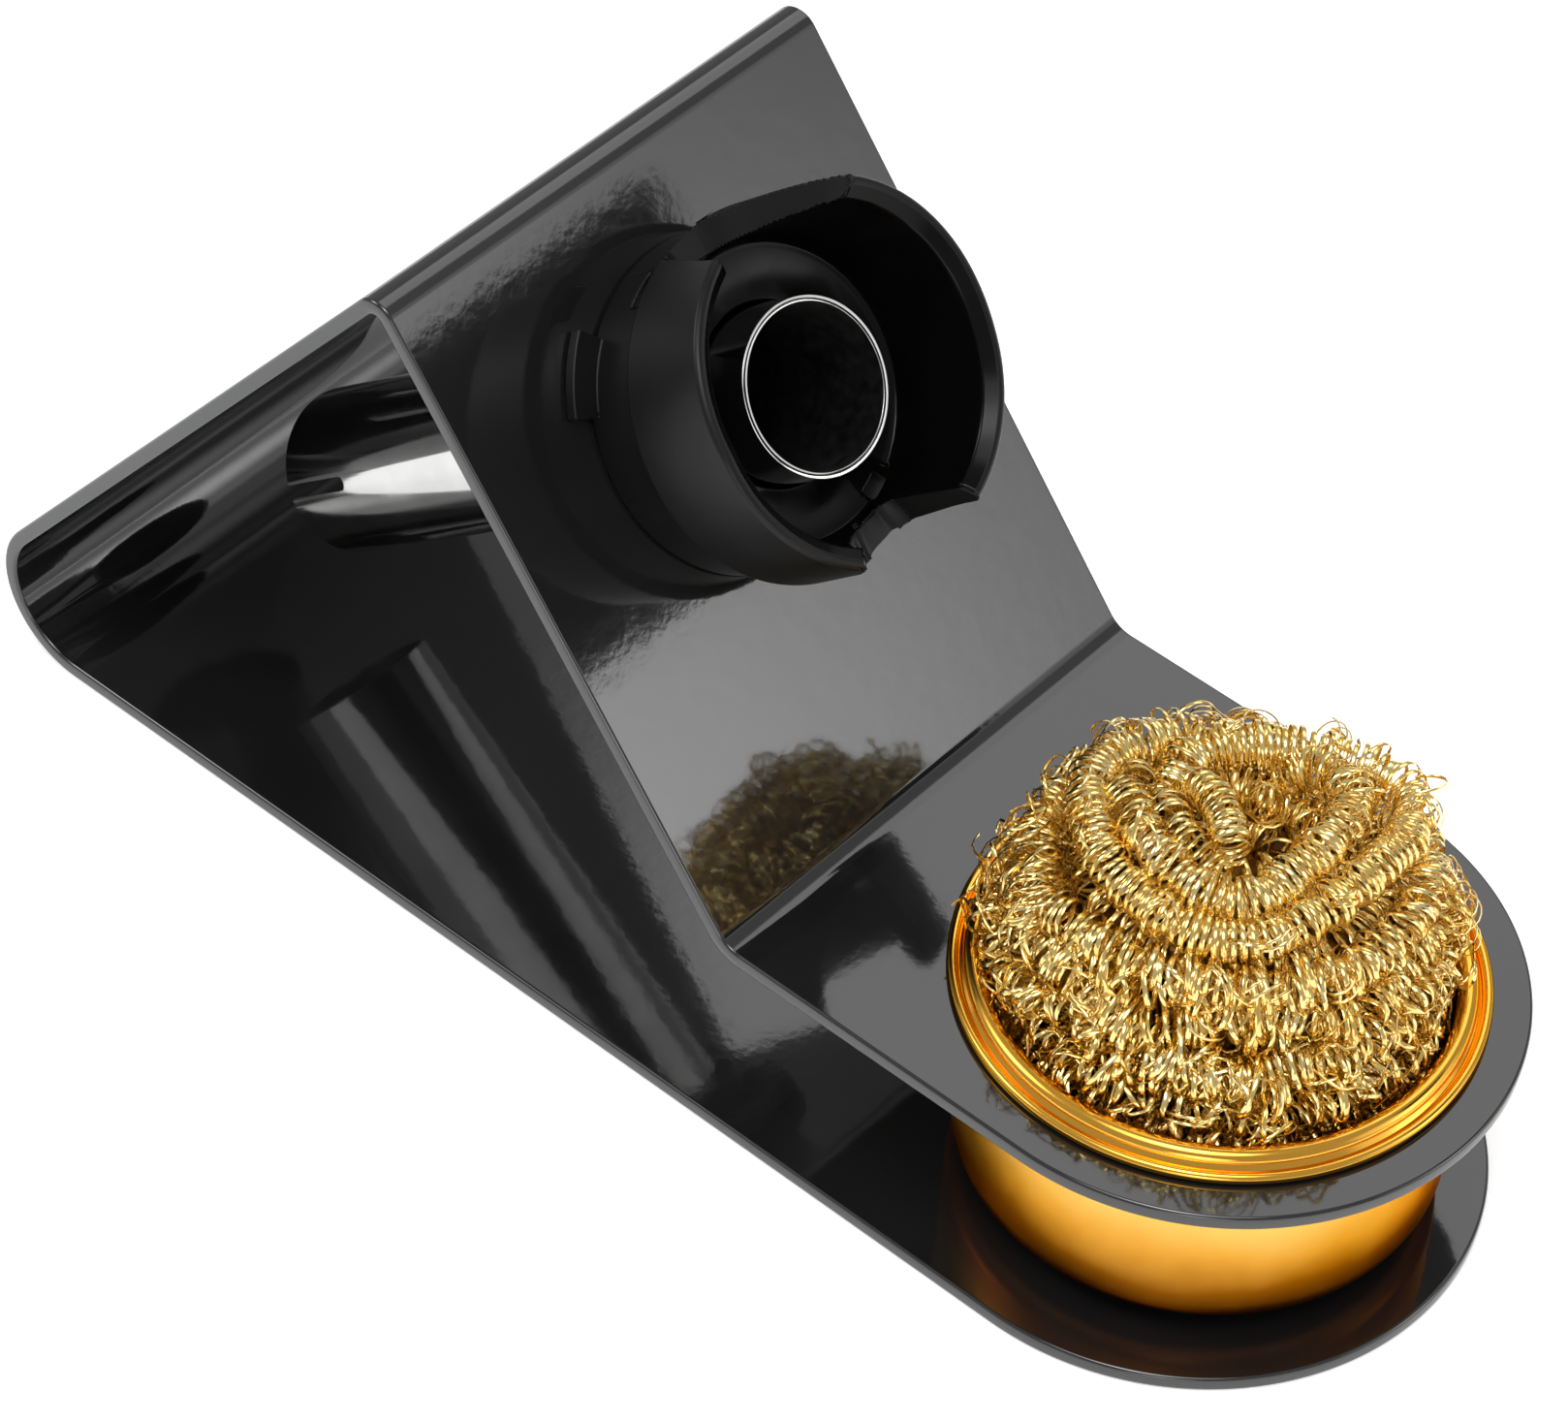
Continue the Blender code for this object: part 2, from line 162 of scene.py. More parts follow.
def circle(radius):
    """Points of a whole circle about the origin."""
    last = 360.0 * (1.0 - 1.0 / ROUND_STEPS)
    return arc((0.0, 0.0), radius, 0.0, last, ROUND_STEPS - 1)


def revolve(name, outline, place, material=None, steps=ROUND_STEPS, sharp_angle=30.0):
    """Turn a closed (radius, height) outline about the Z axis of a frame."""
    build = bmesh.new()
    rings = []
    for radius, height in outline:
        if radius < 1e-9:
            rings.append([build.verts.new(place @ Vector((0.0, 0.0, height)))])
            continue
        ring = []
        for step in range(steps):
            angle = 2.0 * math.pi * step / steps
            local = Vector((radius * math.cos(angle), radius * math.sin(angle), height))
            ring.append(build.verts.new(place @ local))
        rings.append(ring)
    for lower, upper in zip(rings, rings[1:] + rings[:1]):
        if len(lower) == 1 and len(upper) == 1:
            continue
        for step in range(steps):
            after = (step + 1) % steps
            corners = [lower[step % len(lower)], lower[after % len(lower)]]
            corners += [upper[after % len(upper)], upper[step % len(upper)]]
            build.faces.new(list(dict.fromkeys(corners)))
    return finished(name, build, material, sharp_angle)


def block(name, low_points, high_points):
    """A closed block between two matching rings of points."""
    build = bmesh.new()
    low = [build.verts.new(point) for point in low_points]
    high = [build.verts.new(point) for point in high_points]
    build.faces.new(low)
    build.faces.new(high)
    for i in range(len(low)):
        after = (i + 1) % len(low)
        build.faces.new((low[i], low[after], high[after], high[i]))
    return finished(name, build)


def prism(name, outline, length, place):
    """Extrude a closed outline in the frame's XY plane along the frame's +Z."""
    low, high = [[place @ Vector((x, y, z)) for x, y in outline] for z in (0.0, length)]
    return block(name, low, high)


def rectangle(name, half_x, half_y, place, material):
    """A flat rectangle in the frame's XY plane."""
    build = bmesh.new()
    corners = ((-half_x, -half_y), (half_x, -half_y), (half_x, half_y), (-half_x, half_y))
    build.faces.new([build.verts.new(place @ Vector((x, y, 0.0))) for x, y in corners])
    return finished(name, build, material)


def combine(item, tools, operation="DIFFERENCE"):
    """Apply exact Booleans to item and remove the tool objects."""
    for tool in tools:
        boolean = item.modifiers.new(tool.name, "BOOLEAN")
        boolean.operation = operation
        boolean.solver = "EXACT"
        boolean.object = tool
    apply_modifiers(item)
    for tool in tools:
        bpy.data.objects.remove(tool, do_unlink=True)


def apply_modifiers(item):
    """Replace the object's mesh by its evaluated one."""
    bpy.context.view_layer.update()
    graph = bpy.context.evaluated_depsgraph_get()
    mesh = bpy.data.meshes.new_from_object(item.evaluated_get(graph), depsgraph=graph)
    item.modifiers.clear()
    item.data = mesh


def shade_flats_flat(item):
    """Smooth shading in which the broad faces keep their own direction up to their borders."""
    item.data.shade_smooth()
    item.data.set_sharp_from_angle(angle=math.radians(50.0))
    flats = item.modifiers.new("flats_stay_flat", "WEIGHTED_NORMAL")
    flats.mode = "FACE_AREA"
    flats.keep_sharp = True
    apply_modifiers(item)


def round_edges(item, width, segments, angle):
    """Merge the slivers that the cuts left, then round the sharp edges."""
    build = bmesh.new()
    build.from_mesh(item.data)
    bmesh.ops.remove_doubles(build, verts=build.verts, dist=0.01 * MM)
    build.to_mesh(item.data)
    build.free()
    item.data.shade_smooth()
    bevel = item.modifiers.new("rounded_edges", "BEVEL")
    bevel.width = width
    bevel.segments = segments
    bevel.limit_method = "ANGLE"
    bevel.angle_limit = math.radians(angle)
    bevel.use_clamp_overlap = False
    bevel.miter_outer = "MITER_ARC"
    bevel.harden_normals = True
    apply_modifiers(item)


# ---------------------------- material helpers
class Nodes:
    """A material's node tree, built by short calls."""

    def __init__(self, name):
        self.material = bpy.data.materials.new(name)
        self.material.use_nodes = True
        self.tree = self.material.node_tree
        self.shader = self.tree.nodes["Principled BSDF"]
        self.coordinates = self.tree.nodes.new("ShaderNodeTexCoord").outputs["Object"]

    def add(self, kind, inputs=None, **settings):
        """Add a node; an input that is another node's output is linked, any other value is set."""
        node = self.tree.nodes.new(kind)
        for key, value in settings.items():
            setattr(node, key, value)
        for key, value in (inputs or {}).items():
            if isinstance(value, bpy.types.NodeSocket):
                self.tree.links.new(value, node.inputs[key])
            else:
                node.inputs[key].default_value = value
        return node

    def noise(self, scale, detail=2.0, roughness=0.5):
        """A noise over the object's own coordinates."""
        inputs = {"Vector": self.coordinates, "Scale": scale, "Detail": detail, "Roughness": roughness}
        return self.add("ShaderNodeTexNoise", inputs).outputs["Fac"]

    def ramp(self, source, stops):
        """A colour ramp over (position, colour) stops."""
        node = self.add("ShaderNodeValToRGB", {"Fac": source})
        elements = node.color_ramp.elements
        while len(elements) < len(stops):
            elements.new(0.5)
        for element, (position, colour) in zip(elements, stops):
            element.position = position
            element.color = (*colour, 1.0)
        return node.outputs["Color"]

    def spread(self, source, low, high, start=0.3, end=0.7):
        """Carry the source's range from start to end over to the range from low to high."""
        inputs = {"Value": source, "From Min": start, "From Max": end, "To Min": low, "To Max": high}
        return self.add("ShaderNodeMapRange", inputs).outputs["Result"]

    def bump(self, height, distance, normal=None):
        """A normal bumped by a height, on top of another normal if one is given."""
        inputs = {"Height": height, "Distance": distance, "Strength": 1.0}
        if normal:
            inputs["Normal"] = normal
        return self.add("ShaderNodeBump", inputs).outputs["Normal"]

    def set(self, **values):
        """Set or link the shader's sockets; an underscore stands for a space."""
        for key, value in values.items():
            socket = self.shader.inputs[key.replace("_", " ")]
            if isinstance(value, bpy.types.NodeSocket):
                self.tree.links.new(value, socket)
            else:
                socket.default_value = value
        return self


def powder_coat():
    """Glossy dark grey powder coat: faint orange peel and a speckle of fine grain."""
    n = Nodes("grey_powder_coat_fine")
    peel = n.noise(1400.0, detail=2.0, roughness=0.45)
    waves = n.noise(330.0, detail=1.0)
    grain = n.noise(9000.0, detail=1.0)
    tone = n.noise(60.0, detail=3.0)
    colour = n.ramp(tone, [(0.3, (0.009, 0.0091, 0.0093)), (0.7, (0.012, 0.0121, 0.0123))])
    normal = n.bump(waves, 0.010 * MM)
    normal = n.bump(peel, 0.003 * MM, normal=normal)
    n.set(Base_Color=colour, Roughness=n.spread(grain, 0.045, 0.08), Normal=normal)
    n.set(Specular_IOR_Level=0.9)
    return n.material


def holder_plastic():
    """Black moulded plastic, satin with a fine grain."""
    n = Nodes("black_moulded_plastic")
    grain = n.noise(5200.0, detail=2.0)
    smudge = n.noise(90.0, detail=3.0)
    colour = n.ramp(smudge, [(0.3, (0.004, 0.004, 0.0042)), (0.7, (0.006, 0.006, 0.0062))])
    normal = n.bump(grain, 0.003 * MM)
    n.set(Base_Color=colour, Roughness=n.spread(smudge, 0.32, 0.42), Normal=normal)
    n.set(Specular_IOR_Level=0.25)
    return n.material


def shaded_inside_plastic():
    """The holder's inside: glossier than the outside, and painted a deeper black with a weaker sheen as
    painted shade in the cup.
    """
    n = Nodes("black_inside_plastic_painted_shade")
    smudge = n.noise(110.0, detail=3.0)
    flow = n.noise(420.0, detail=2.0)
    colour = n.ramp(smudge, [(0.3, (0.0015, 0.0015, 0.0016)), (0.7, (0.003, 0.003, 0.0031))])
    n.set(Base_Color=colour, Roughness=n.spread(smudge, 0.10, 0.20), Normal=n.bump(flow, 0.006 * MM))
    n.set(Specular_IOR_Level=0.14)
    return n.material


def ring_plastic():
    """Coarser black plastic of the lock ring."""
    n = Nodes("black_ring_plastic_fine")
    grain = n.noise(3600.0, detail=2.0)
    smudge = n.noise(120.0, detail=3.0)
    colour = n.ramp(smudge, [(0.3, (0.011, 0.011, 0.012)), (0.7, (0.017, 0.017, 0.018))])
    n.set(Base_Color=colour, Roughness=n.spread(smudge, 0.42, 0.58), Normal=n.bump(grain, 0.006 * MM))
    return n.material


def polished_steel():
    """Bright steel with very fine turning lines round the tube."""
    n = Nodes("polished_steel_fine")
    lines = n.noise(2600.0, detail=1.0)
    smudge = n.noise(150.0, detail=3.0)
    colour = n.ramp(smudge, [(0.35, (0.60, 0.60, 0.59)), (0.65, (0.68, 0.68, 0.67))])
    n.set(Base_Color=colour, Metallic=1.0, Roughness=n.spread(smudge, 0.05, 0.12))
    n.set(Normal=n.bump(lines, 0.0006 * MM))
    return n.material


def dull_steel():
    """Dark grey steel of the tube's bore, much darker and rougher than the outside."""
    n = Nodes("dull_steel_bore")
    streaks = n.noise(800.0, detail=3.0)
    colour = n.ramp(streaks, [(0.3, (0.10, 0.10, 0.10)), (0.7, (0.16, 0.16, 0.158))])
    n.set(Base_Color=colour, Metallic=1.0, Roughness=n.spread(streaks, 0.38, 0.50))
    n.set(Normal=n.bump(streaks, 0.004 * MM))
    return n.material


def anodised_gold():
    """Gold anodised aluminium: a satin wall with painted shade that darkens it towards its foot, and a
    glossier rolled lip of deeper orange.
    """
    n = Nodes("gold_anodised_fine")
    grain = n.noise(3200.0, detail=2.0)
    tone = n.noise(70.0, detail=3.0)
    height = n.add("ShaderNodeSeparateXYZ", {0: n.coordinates}).outputs["Z"]
    # painted shade: the wall darkens from gold near the lip to dark brown-orange at the foot, standing in for
    # the dark base plate reflected there
    up_wall = n.spread(height, 0.0, 1.0, TIN_BOTTOM, SHELF_TOP - 6.0 * MM)
    lip = n.spread(height, 0.0, 1.0, SHELF_TOP - 2.0 * MM, SHELF_TOP + 0.5 * MM)
    foot_shade_and_tone = n.add("ShaderNodeMath", {0: up_wall, 1: n.spread(tone, -0.08, 0.08)}, operation="ADD").outputs[0]
    stops = [(0.0, (0.13, 0.034, 0.002)), (0.3, (0.34, 0.115, 0.007)), (0.55, (0.74, 0.36, 0.05))]
    wall = n.ramp(foot_shade_and_tone, stops + [(0.85, (0.95, 0.60, 0.15))])
    mixed = n.add("ShaderNodeMix", {0: lip, 6: wall, 7: (0.90, 0.47, 0.065, 1.0)}, data_type="RGBA")
    colour = mixed.outputs[2]
    satin = n.spread(tone, 0.30, 0.40)
    worn = n.add("ShaderNodeMath", {0: lip, 1: -0.20}, operation="MULTIPLY").outputs[0]
    roughness = n.add("ShaderNodeMath", {0: satin, 1: worn}, operation="ADD").outputs[0]
    n.set(Base_Color=colour, Metallic=1.0, Roughness=roughness)
    n.set(Normal=n.bump(grain, 0.0012 * MM), Specular_Tint=(0.95, 0.42, 0.05, 1.0))
    return n.material


def brass_ribbon():
    """Bright brass turnings with slightly tarnished stretches."""
    n = Nodes("brass_ribbon_fine")
    tarnish = n.noise(260.0, detail=3.0)
    scratches = n.noise(4000.0, detail=1.0)
    stops = [(0.3, (0.90, 0.60, 0.16)), (0.5, (0.97, 0.72, 0.26)), (0.7, (1.0, 0.82, 0.40))]
    n.set(Base_Color=n.ramp(tarnish, stops), Metallic=1.0, Roughness=n.spread(tarnish, 0.20, 0.12))
    n.set(Normal=n.bump(scratches, 0.0010 * MM))
    return n.material


def wool_shadow():
    """Painted shade: dark amber standing in for the shade deep inside the wool's tangle."""
    n = Nodes("brass_wool_painted_shade")
    tangle = n.noise(700.0, detail=4.0)
    stops = [(0.35, (0.05, 0.018, 0.002)), (0.65, (0.30, 0.14, 0.02))]
    n.set(Base_Color=n.ramp(tangle, stops), Metallic=1.0, Roughness=n.spread(tangle, 0.6, 0.4))
    n.set(Normal=n.bump(tangle, 0.3 * MM))
    return n.material


# ---------------------------- stand body
def rounded_path(corners, radii, steps):
    """(point, forward direction) pairs along a bent line in the XZ plane."""
    path = [(corners[0], (corners[1] - corners[0]).normalized())]
    for i, radius in enumerate(radii, start=1):
        arriving = (corners[i] - corners[i - 1]).normalized()
        leaving = (corners[i + 1] - corners[i]).normalized()
        turn = arriving.angle_signed(leaving)
        start = corners[i] - arriving * radius * math.tan(abs(turn) / 2.0)
        side = Vector((arriving.y, -arriving.x)) * math.copysign(1.0, turn)
        centre = start + side * radius
        for step in range(steps[i - 1] + 1):
            turned = Matrix.Rotation(-turn * step / steps[i - 1], 2)
            path.append((centre - turned @ side * radius, turned @ arriving))
    path.append((corners[-1], (corners[-1] - corners[-2]).normalized()))
    return path


def crossing(point_a, along_a, point_b, along_b):
    """Where two lines of the XZ plane meet."""
    sides = np.array([[along_a.x, -along_b.x], [along_a.y, -along_b.y]])
    share = np.linalg.solve(sides, np.array(point_b - point_a))
    return point_a + along_a * float(share[0])


def strip_corners():
    """Corners of the sheet's middle line, from the base's round end to the shelf's."""
    half = SHEET_THICKNESS / 2.0
    ridge = Vector((RIDGE_X, SHELF_TOP + (SHELF_BEND_X - RIDGE_X) * math.tan(FRONT_ANGLE)))
    on_front = ridge - Vector((math.sin(FRONT_ANGLE), math.cos(FRONT_ANGLE))) * half
    on_rear = ridge - Vector((-math.sin(REAR_ANGLE), math.cos(REAR_ANGLE))) * half
    down_front = Vector((math.cos(FRONT_ANGLE), -math.sin(FRONT_ANGLE)))
    down_rear = Vector((-math.cos(REAR_ANGLE), -math.sin(REAR_ANGLE)))
    base_end = Vector((BASE_END_X, half))
    shelf_end = Vector((TIN_X, SHELF_TOP - half))
    forward = Vector((1.0, 0.0))
    base_corner = crossing(on_rear, down_rear, base_end, forward)
    ridge_corner = crossing(on_front, down_front, on_rear, down_rear)
    shelf_corner = crossing(on_front, down_front, shelf_end, forward)
    return [base_end, base_corner, ridge_corner, shelf_corner, shelf_end]


def sheet_outline(inset, lift, path, end_steps=128):
    """The strip's outline as world points, moved in by inset and off the middle plane by lift.

    It runs along the +Y border, round the shelf's end, back along the -Y border and round the base's end.
    """
    reach = SHEET_WIDTH / 2.0 - inset

    def place(middle, forward, along, across):
        side = Vector((forward.y, -forward.x)) * lift
        return (middle.x + forward.x * along + side.x, across, middle.y + forward.y * along + side.y)

    def round_end(middle, forward, sign):
        points = []
        for step in range(1, end_steps):
            angle = math.pi * (0.5 - step / end_steps)
            along, across = sign * reach * math.cos(angle), sign * reach * math.sin(angle)
            points.append(place(middle, forward, along, across))
        return points

    outline = [place(middle, forward, 0.0, reach) for middle, forward in path]
    outline += round_end(*path[-1], 1.0)
    outline += [place(middle, forward, 0.0, -reach) for middle, forward in reversed(path)]
    outline += round_end(*path[0], -1.0)
    return outline


def make_stand_body(material, plate):
    """The bent strip with its coated, rounded borders and its two holes."""
    half = SHEET_THICKNESS / 2.0
    path = rounded_path(strip_corners(), BEND_RADII, steps=(48, 24, 24))
    build = bmesh.new()
    rings = []
    for side in (1.0, -1.0):
        for angle in (90.0, 60.0, 30.0, 0.0)[::int(side)]:
            inset = EDGE_ROUNDING * (1.0 - math.cos(math.radians(angle)))
            lift = side * (half - EDGE_ROUNDING * (1.0 - math.sin(math.radians(angle))))
            rings.append([build.verts.new(point) for point in sheet_outline(inset, lift, path)])
    total, count = len(rings[0]), len(path)
    for here, there in zip(rings, rings[1:]):
        for i in range(total):
            after = (i + 1) % total
            build.faces.new((here[i], here[after], there[after], there[i]))
    far_side = total - (total - 2 * count) // 2 - 1  # the -Y border's point beside the path's start
    for ring in (rings[0], rings[-1]):
        for i in range(count - 1):
            build.faces.new((ring[i], ring[i + 1], ring[far_side - i - 1], ring[far_side - i]))
        build.faces.new(ring[count - 1:far_side - count + 2])
        build.faces.new(ring[far_side:] + ring[:1])
    body = finished("bent_stand_body", build, material)

    tall = 4.0 * SHEET_THICKNESS
    shelf_place = Matrix.Translation((TIN_X, 0.0, SHELF_TOP - tall / 2.0))
    plate_place = plate @ Matrix.Translation((0.0, 0.0, -tall / 2.0))
    tin_hole = prism("tin_hole", circle(TIN_RADIUS + TIN_HOLE_GAP), tall, shelf_place)
    holder_hole = prism("holder_hole", circle(SPIGOT_RADIUS + GAP), tall, plate_place)
    combine(body, [tin_hole, holder_hole])
    shade_flats_flat(body)
    return body


# ---------------------------- iron holder
def plate_frame():
    """Frame on the front plate's face: Z out of the plate, X up the slope, Y to the near side."""
    up = Vector((-math.cos(FRONT_ANGLE), 0.0, math.sin(FRONT_ANGLE)))
    out = Vector((math.sin(FRONT_ANGLE), 0.0, math.cos(FRONT_ANGLE)))
    place = Vector((SHELF_BEND_X, 0.0, SHELF_TOP)) + up * HOLDER_UP_SLOPE
    axes = Matrix((up, out.cross(up), out)).transposed().to_4x4()
    return Matrix.Translation(place) @ axes


def notch_outline():
    """Notch in the rim as (degrees, height): a long hollow ramp down, then a short steep side."""
    drop = HOLDER_RIM_HEIGHT - NOTCH_FLOOR
    start, end = NOTCH_RAMP
    open_top = HOLDER_RIM_HEIGHT + 3.0 * MM
    outline = [(NOTCH_STEEP_SIDE + 1.0, open_top), (start - 2.5, open_top)]
    steps = 32
    for step in range(steps + 1):
        part = step / steps
        outline.append((start + (end - start) * part, NOTCH_FLOOR + drop * (1.0 - part) ** 2))
    # the floor turns up into the steep side through a quarter ellipse
    corner_width, corner_height = NOTCH_CORNER
    foot = NOTCH_STEEP_SIDE - 2.5
    for part_across, part_up in arc((0.0, 0.0), 1.0, -90.0, 0.0, 14):
        across = foot - corner_width * (1.0 - part_across)
        outline.append((across, NOTCH_FLOOR + corner_height * (1.0 + part_up)))
    outline.append((NOTCH_STEEP_SIDE, HOLDER_RIM_HEIGHT))
    return outline


def radial_block(name, outline, radii, place):
    """A block with radial sides, from a closed outline of (degrees, height)."""
    rings = []
    for radius in radii:
        ring = []
        for degrees, height in outline:
            angle = math.radians(degrees)
            ring.append(place @ Vector((radius * math.cos(angle), radius * math.sin(angle), height)))
        rings.append(ring)
    return block(name, *rings)


def sector(name, angles, radii, heights, place):
    """A block bounded by two angles (degrees), two radii and two heights."""
    outline = arc((0.0, 0.0), radii[1], angles[0], angles[1], 12)
    outline += arc((0.0, 0.0), radii[0], angles[1], angles[0], 12)
    return prism(name, outline, heights[1] - heights[0], place @ Matrix.Translation((0.0, 0.0, heights[0])))


def shape_rim(holder, plate):
    """Spread the far lobe's rim up the slope, and let the near lobe's rim sink towards its upper end.

    The angles are degrees from straight up the slope, towards the near side.
    """
    spread_most = 1.7 * MM
    spread_at = -28.0
    spread_reach_far, spread_reach_near = 80.0, 34.0
    sink_most = 3.2 * MM
    sink_from, sink_at, sink_to = -10.0, 20.0, 85.0
    to_plate = plate.inverted()
    for vertex in holder.data.vertices:
        local = to_plate @ vertex.co
        turn = math.degrees(math.atan2(local.y, local.x))
        upward = min(1.0, max(0.0, (local.z - HOLDER_BAND_FOOT) / (HOLDER_RIM_HEIGHT - HOLDER_BAND_FOOT)))
        reach = spread_reach_near if turn > spread_at else spread_reach_far
        around = max(0.0, 1.0 - ((turn - spread_at) / reach) ** 2) ** 2
        share = 1.0 + spread_most * around * upward / math.hypot(local.x, local.y)
        sink = min((turn - sink_from) / (sink_at - sink_from), (sink_to - turn) / (sink_to - sink_at))
        height = local.z - sink_most * max(0.0, sink) * upward
        vertex.co = plate @ Vector((local.x * share, local.y * share, height))


def in_cup(middle, normal):
    """Whether a face of the holder lies inside its cup, below the rim's bevel."""
    radius = math.hypot(middle.x, middle.y)
    facing_in = (normal.x * middle.x + normal.y * middle.y) / radius < -0.5
    on_floor = normal.z > 0.5 and middle.z < HOLDER_FLOOR + 1.6 * MM
    within = middle.z > HOLDER_FLOOR - 0.5 * MM and radius < HOLDER_RIM_RADIUS - 1.6 * MM
    return within and (facing_in or on_floor)


def in_bore(middle, normal):
    """Whether a face of the guide tube lies in its bore."""
    return normal.x * middle.x + normal.y * middle.y < -0.9 * (TUBE_RADIUS - TUBE_WALL)


def paint(item, material, plate, chosen):
    """Give a second material to the faces chosen by their middle and normal in the plate's frame."""
    item.data.materials.append(material)
    to_plate = plate.inverted()
    for face in item.data.polygons:
        if chosen(to_plate @ face.center, to_plate.to_3x3() @ face.normal):
            face.material_index = 1


def make_iron_holder(material, polished, plate):
    """Black cup on the plate: skirt, raised band, two lobes between ramped notches, and a spigot."""
    rim = HOLDER_RIM_HEIGHT
    bore = TUBE_RADIUS + GAP
    inside = HOLDER_SKIRT_RADIUS - HOLDER_WALL
    outline = [
        (HOLDER_SKIRT_RADIUS, GAP),
        (HOLDER_SKIRT_RADIUS + 0.5 * MM, HOLDER_BAND_FOOT - 0.9 * MM),
        (HOLDER_BAND_RADIUS - 0.5 * MM, HOLDER_BAND_FOOT),
        (HOLDER_BAND_RADIUS, HOLDER_BAND_FOOT + 0.5 * MM),
        (HOLDER_RIM_RADIUS, rim - 0.5 * MM),
        (HOLDER_RIM_RADIUS - 0.5 * MM, rim),
        (HOLDER_RIM_RADIUS - 1.0 * MM, rim),
        (HOLDER_RIM_RADIUS - 2.6 * MM, rim - 1.2 * MM),
        (HOLDER_RIM_RADIUS - 3.2 * MM, HOLDER_FLOOR + 1.6 * MM),
        (HOLDER_RIM_RADIUS - 3.8 * MM, HOLDER_FLOOR + 0.4 * MM),
        (HOLDER_RIM_RADIUS - 4.6 * MM, HOLDER_FLOOR),
        (bore, HOLDER_FLOOR),
        (bore, -SPIGOT_LENGTH),
        (SPIGOT_RADIUS, -SPIGOT_LENGTH),
        (SPIGOT_RADIUS, HOLDER_FLOOR - HOLDER_WALL),
        (inside, HOLDER_FLOOR - HOLDER_WALL),
        (inside, GAP),
    ]
    holder = revolve("moulded_iron_holder", outline, plate, material)
    half_turns = (("near", 0.0), ("far", math.pi))
    tools = []
    for label, turn in half_turns:
        place = plate @ Matrix.Rotation(turn, 4, "Z")
        notch_radii = (SPIGOT_RADIUS, 1.3 * HOLDER_BAND_RADIUS)
        window_radii = (SPIGOT_RADIUS + 3.0 * MM, 26.0 * MM)
        tools.append(radial_block(f"{label}_notch", notch_outline(), notch_radii, place))
        tools.append(sector(f"{label}_window", WINDOW_ANGLES, window_radii, WINDOW_HEIGHTS, place))
    combine(holder, tools)
    lugs = []
    for label, turn in half_turns:
        place = plate @ Matrix.Rotation(turn, 4, "Z")
        radii = (HOLDER_SKIRT_RADIUS - 1.0 * MM, LUG_RADIUS)
        lugs.append(sector(f"{label}_lug", LUG_ANGLES, radii, (GAP, GAP + LUG_THICKNESS), place))
    combine(holder, lugs, "UNION")
    round_edges(holder, 0.3 * MM, 3, angle=28.0)
    # the cup's inside takes the deeper black plastic: painted shade
    paint(holder, polished, plate, in_cup)
    shape_rim(holder, plate)
    return holder


def make_lock_ring(material, plate):
    """Plain round nut behind the plate, with grip ribs round its edge."""
    top = -SHEET_THICKNESS - GAP
    inner = SPIGOT_RADIUS + GAP
    low = top - LOCK_RING_THICKNESS
    outline = [
        (inner, top),
        (inner, low + 0.3 * MM),
        (inner + 0.3 * MM, low),
        (LOCK_RING_RADIUS - 0.7 * MM, low),
        (LOCK_RING_RADIUS, low + 0.7 * MM),
        (LOCK_RING_RADIUS, top),
    ]
    ring = revolve("ribbed_lock_ring", outline, plate, material)
    ribs, rib_depth = 36, 0.35 * MM
    for vertex in ring.data.vertices:
        local = plate.inverted() @ vertex.co
        radius = math.hypot(local.x, local.y)
        if radius > LOCK_RING_RADIUS - 0.1 * MM:
            wave = 0.5 - 0.5 * math.cos(ribs * math.atan2(local.y, local.x))
            share = 1.0 - rib_depth * wave / radius
            vertex.co = plate @ Vector((local.x * share, local.y * share, local.z))
    return ring


def make_guide_tube(material, dull, plate):
    """Thin steel tube with broken edges, a slot at its rear end and a duller bore."""
    lip = 0.07 * MM
    outer, inner = TUBE_RADIUS, TUBE_RADIUS - TUBE_WALL
    outline = arc((outer - lip, TUBE_REAR + lip), lip, -90.0, 0.0, 3)
    outline += arc((outer - lip, TUBE_FRONT - lip), lip, 0.0, 90.0, 3)
    outline += arc((inner + lip, TUBE_FRONT - lip), lip, 90.0, 180.0, 3)
    outline += arc((inner + lip, TUBE_REAR + lip), lip, 180.0, 270.0, 3)
    tube = revolve("slotted_guide_tube", outline, plate, material, sharp_angle=50.0)
    half = TUBE_SLOT_WIDTH / 2.0
    inner_end = TUBE_REAR + TUBE_SLOT_LENGTH - half
    outline = [(TUBE_REAR - 2.0 * MM, half), (TUBE_REAR - 2.0 * MM, -half)]
    outline += arc((inner_end, 0.0), half, -90.0, 90.0, 16)
    upright = Matrix(((0, 0, 1, 0), (0, 1, 0, 0), (1, 0, 0, 0), (0, 0, 0, 1)))
    place = plate @ Matrix.Rotation(TUBE_SLOT_TURN, 4, "Z") @ upright
    place = place @ Matrix.Translation((0.0, 0.0, TUBE_RADIUS - 3.0 * TUBE_WALL))
    combine(tube, [prism("tube_slot", outline, 6.0 * TUBE_WALL, place)])
    shade_flats_flat(tube)
    paint(tube, dull, plate, in_bore)
    return tube


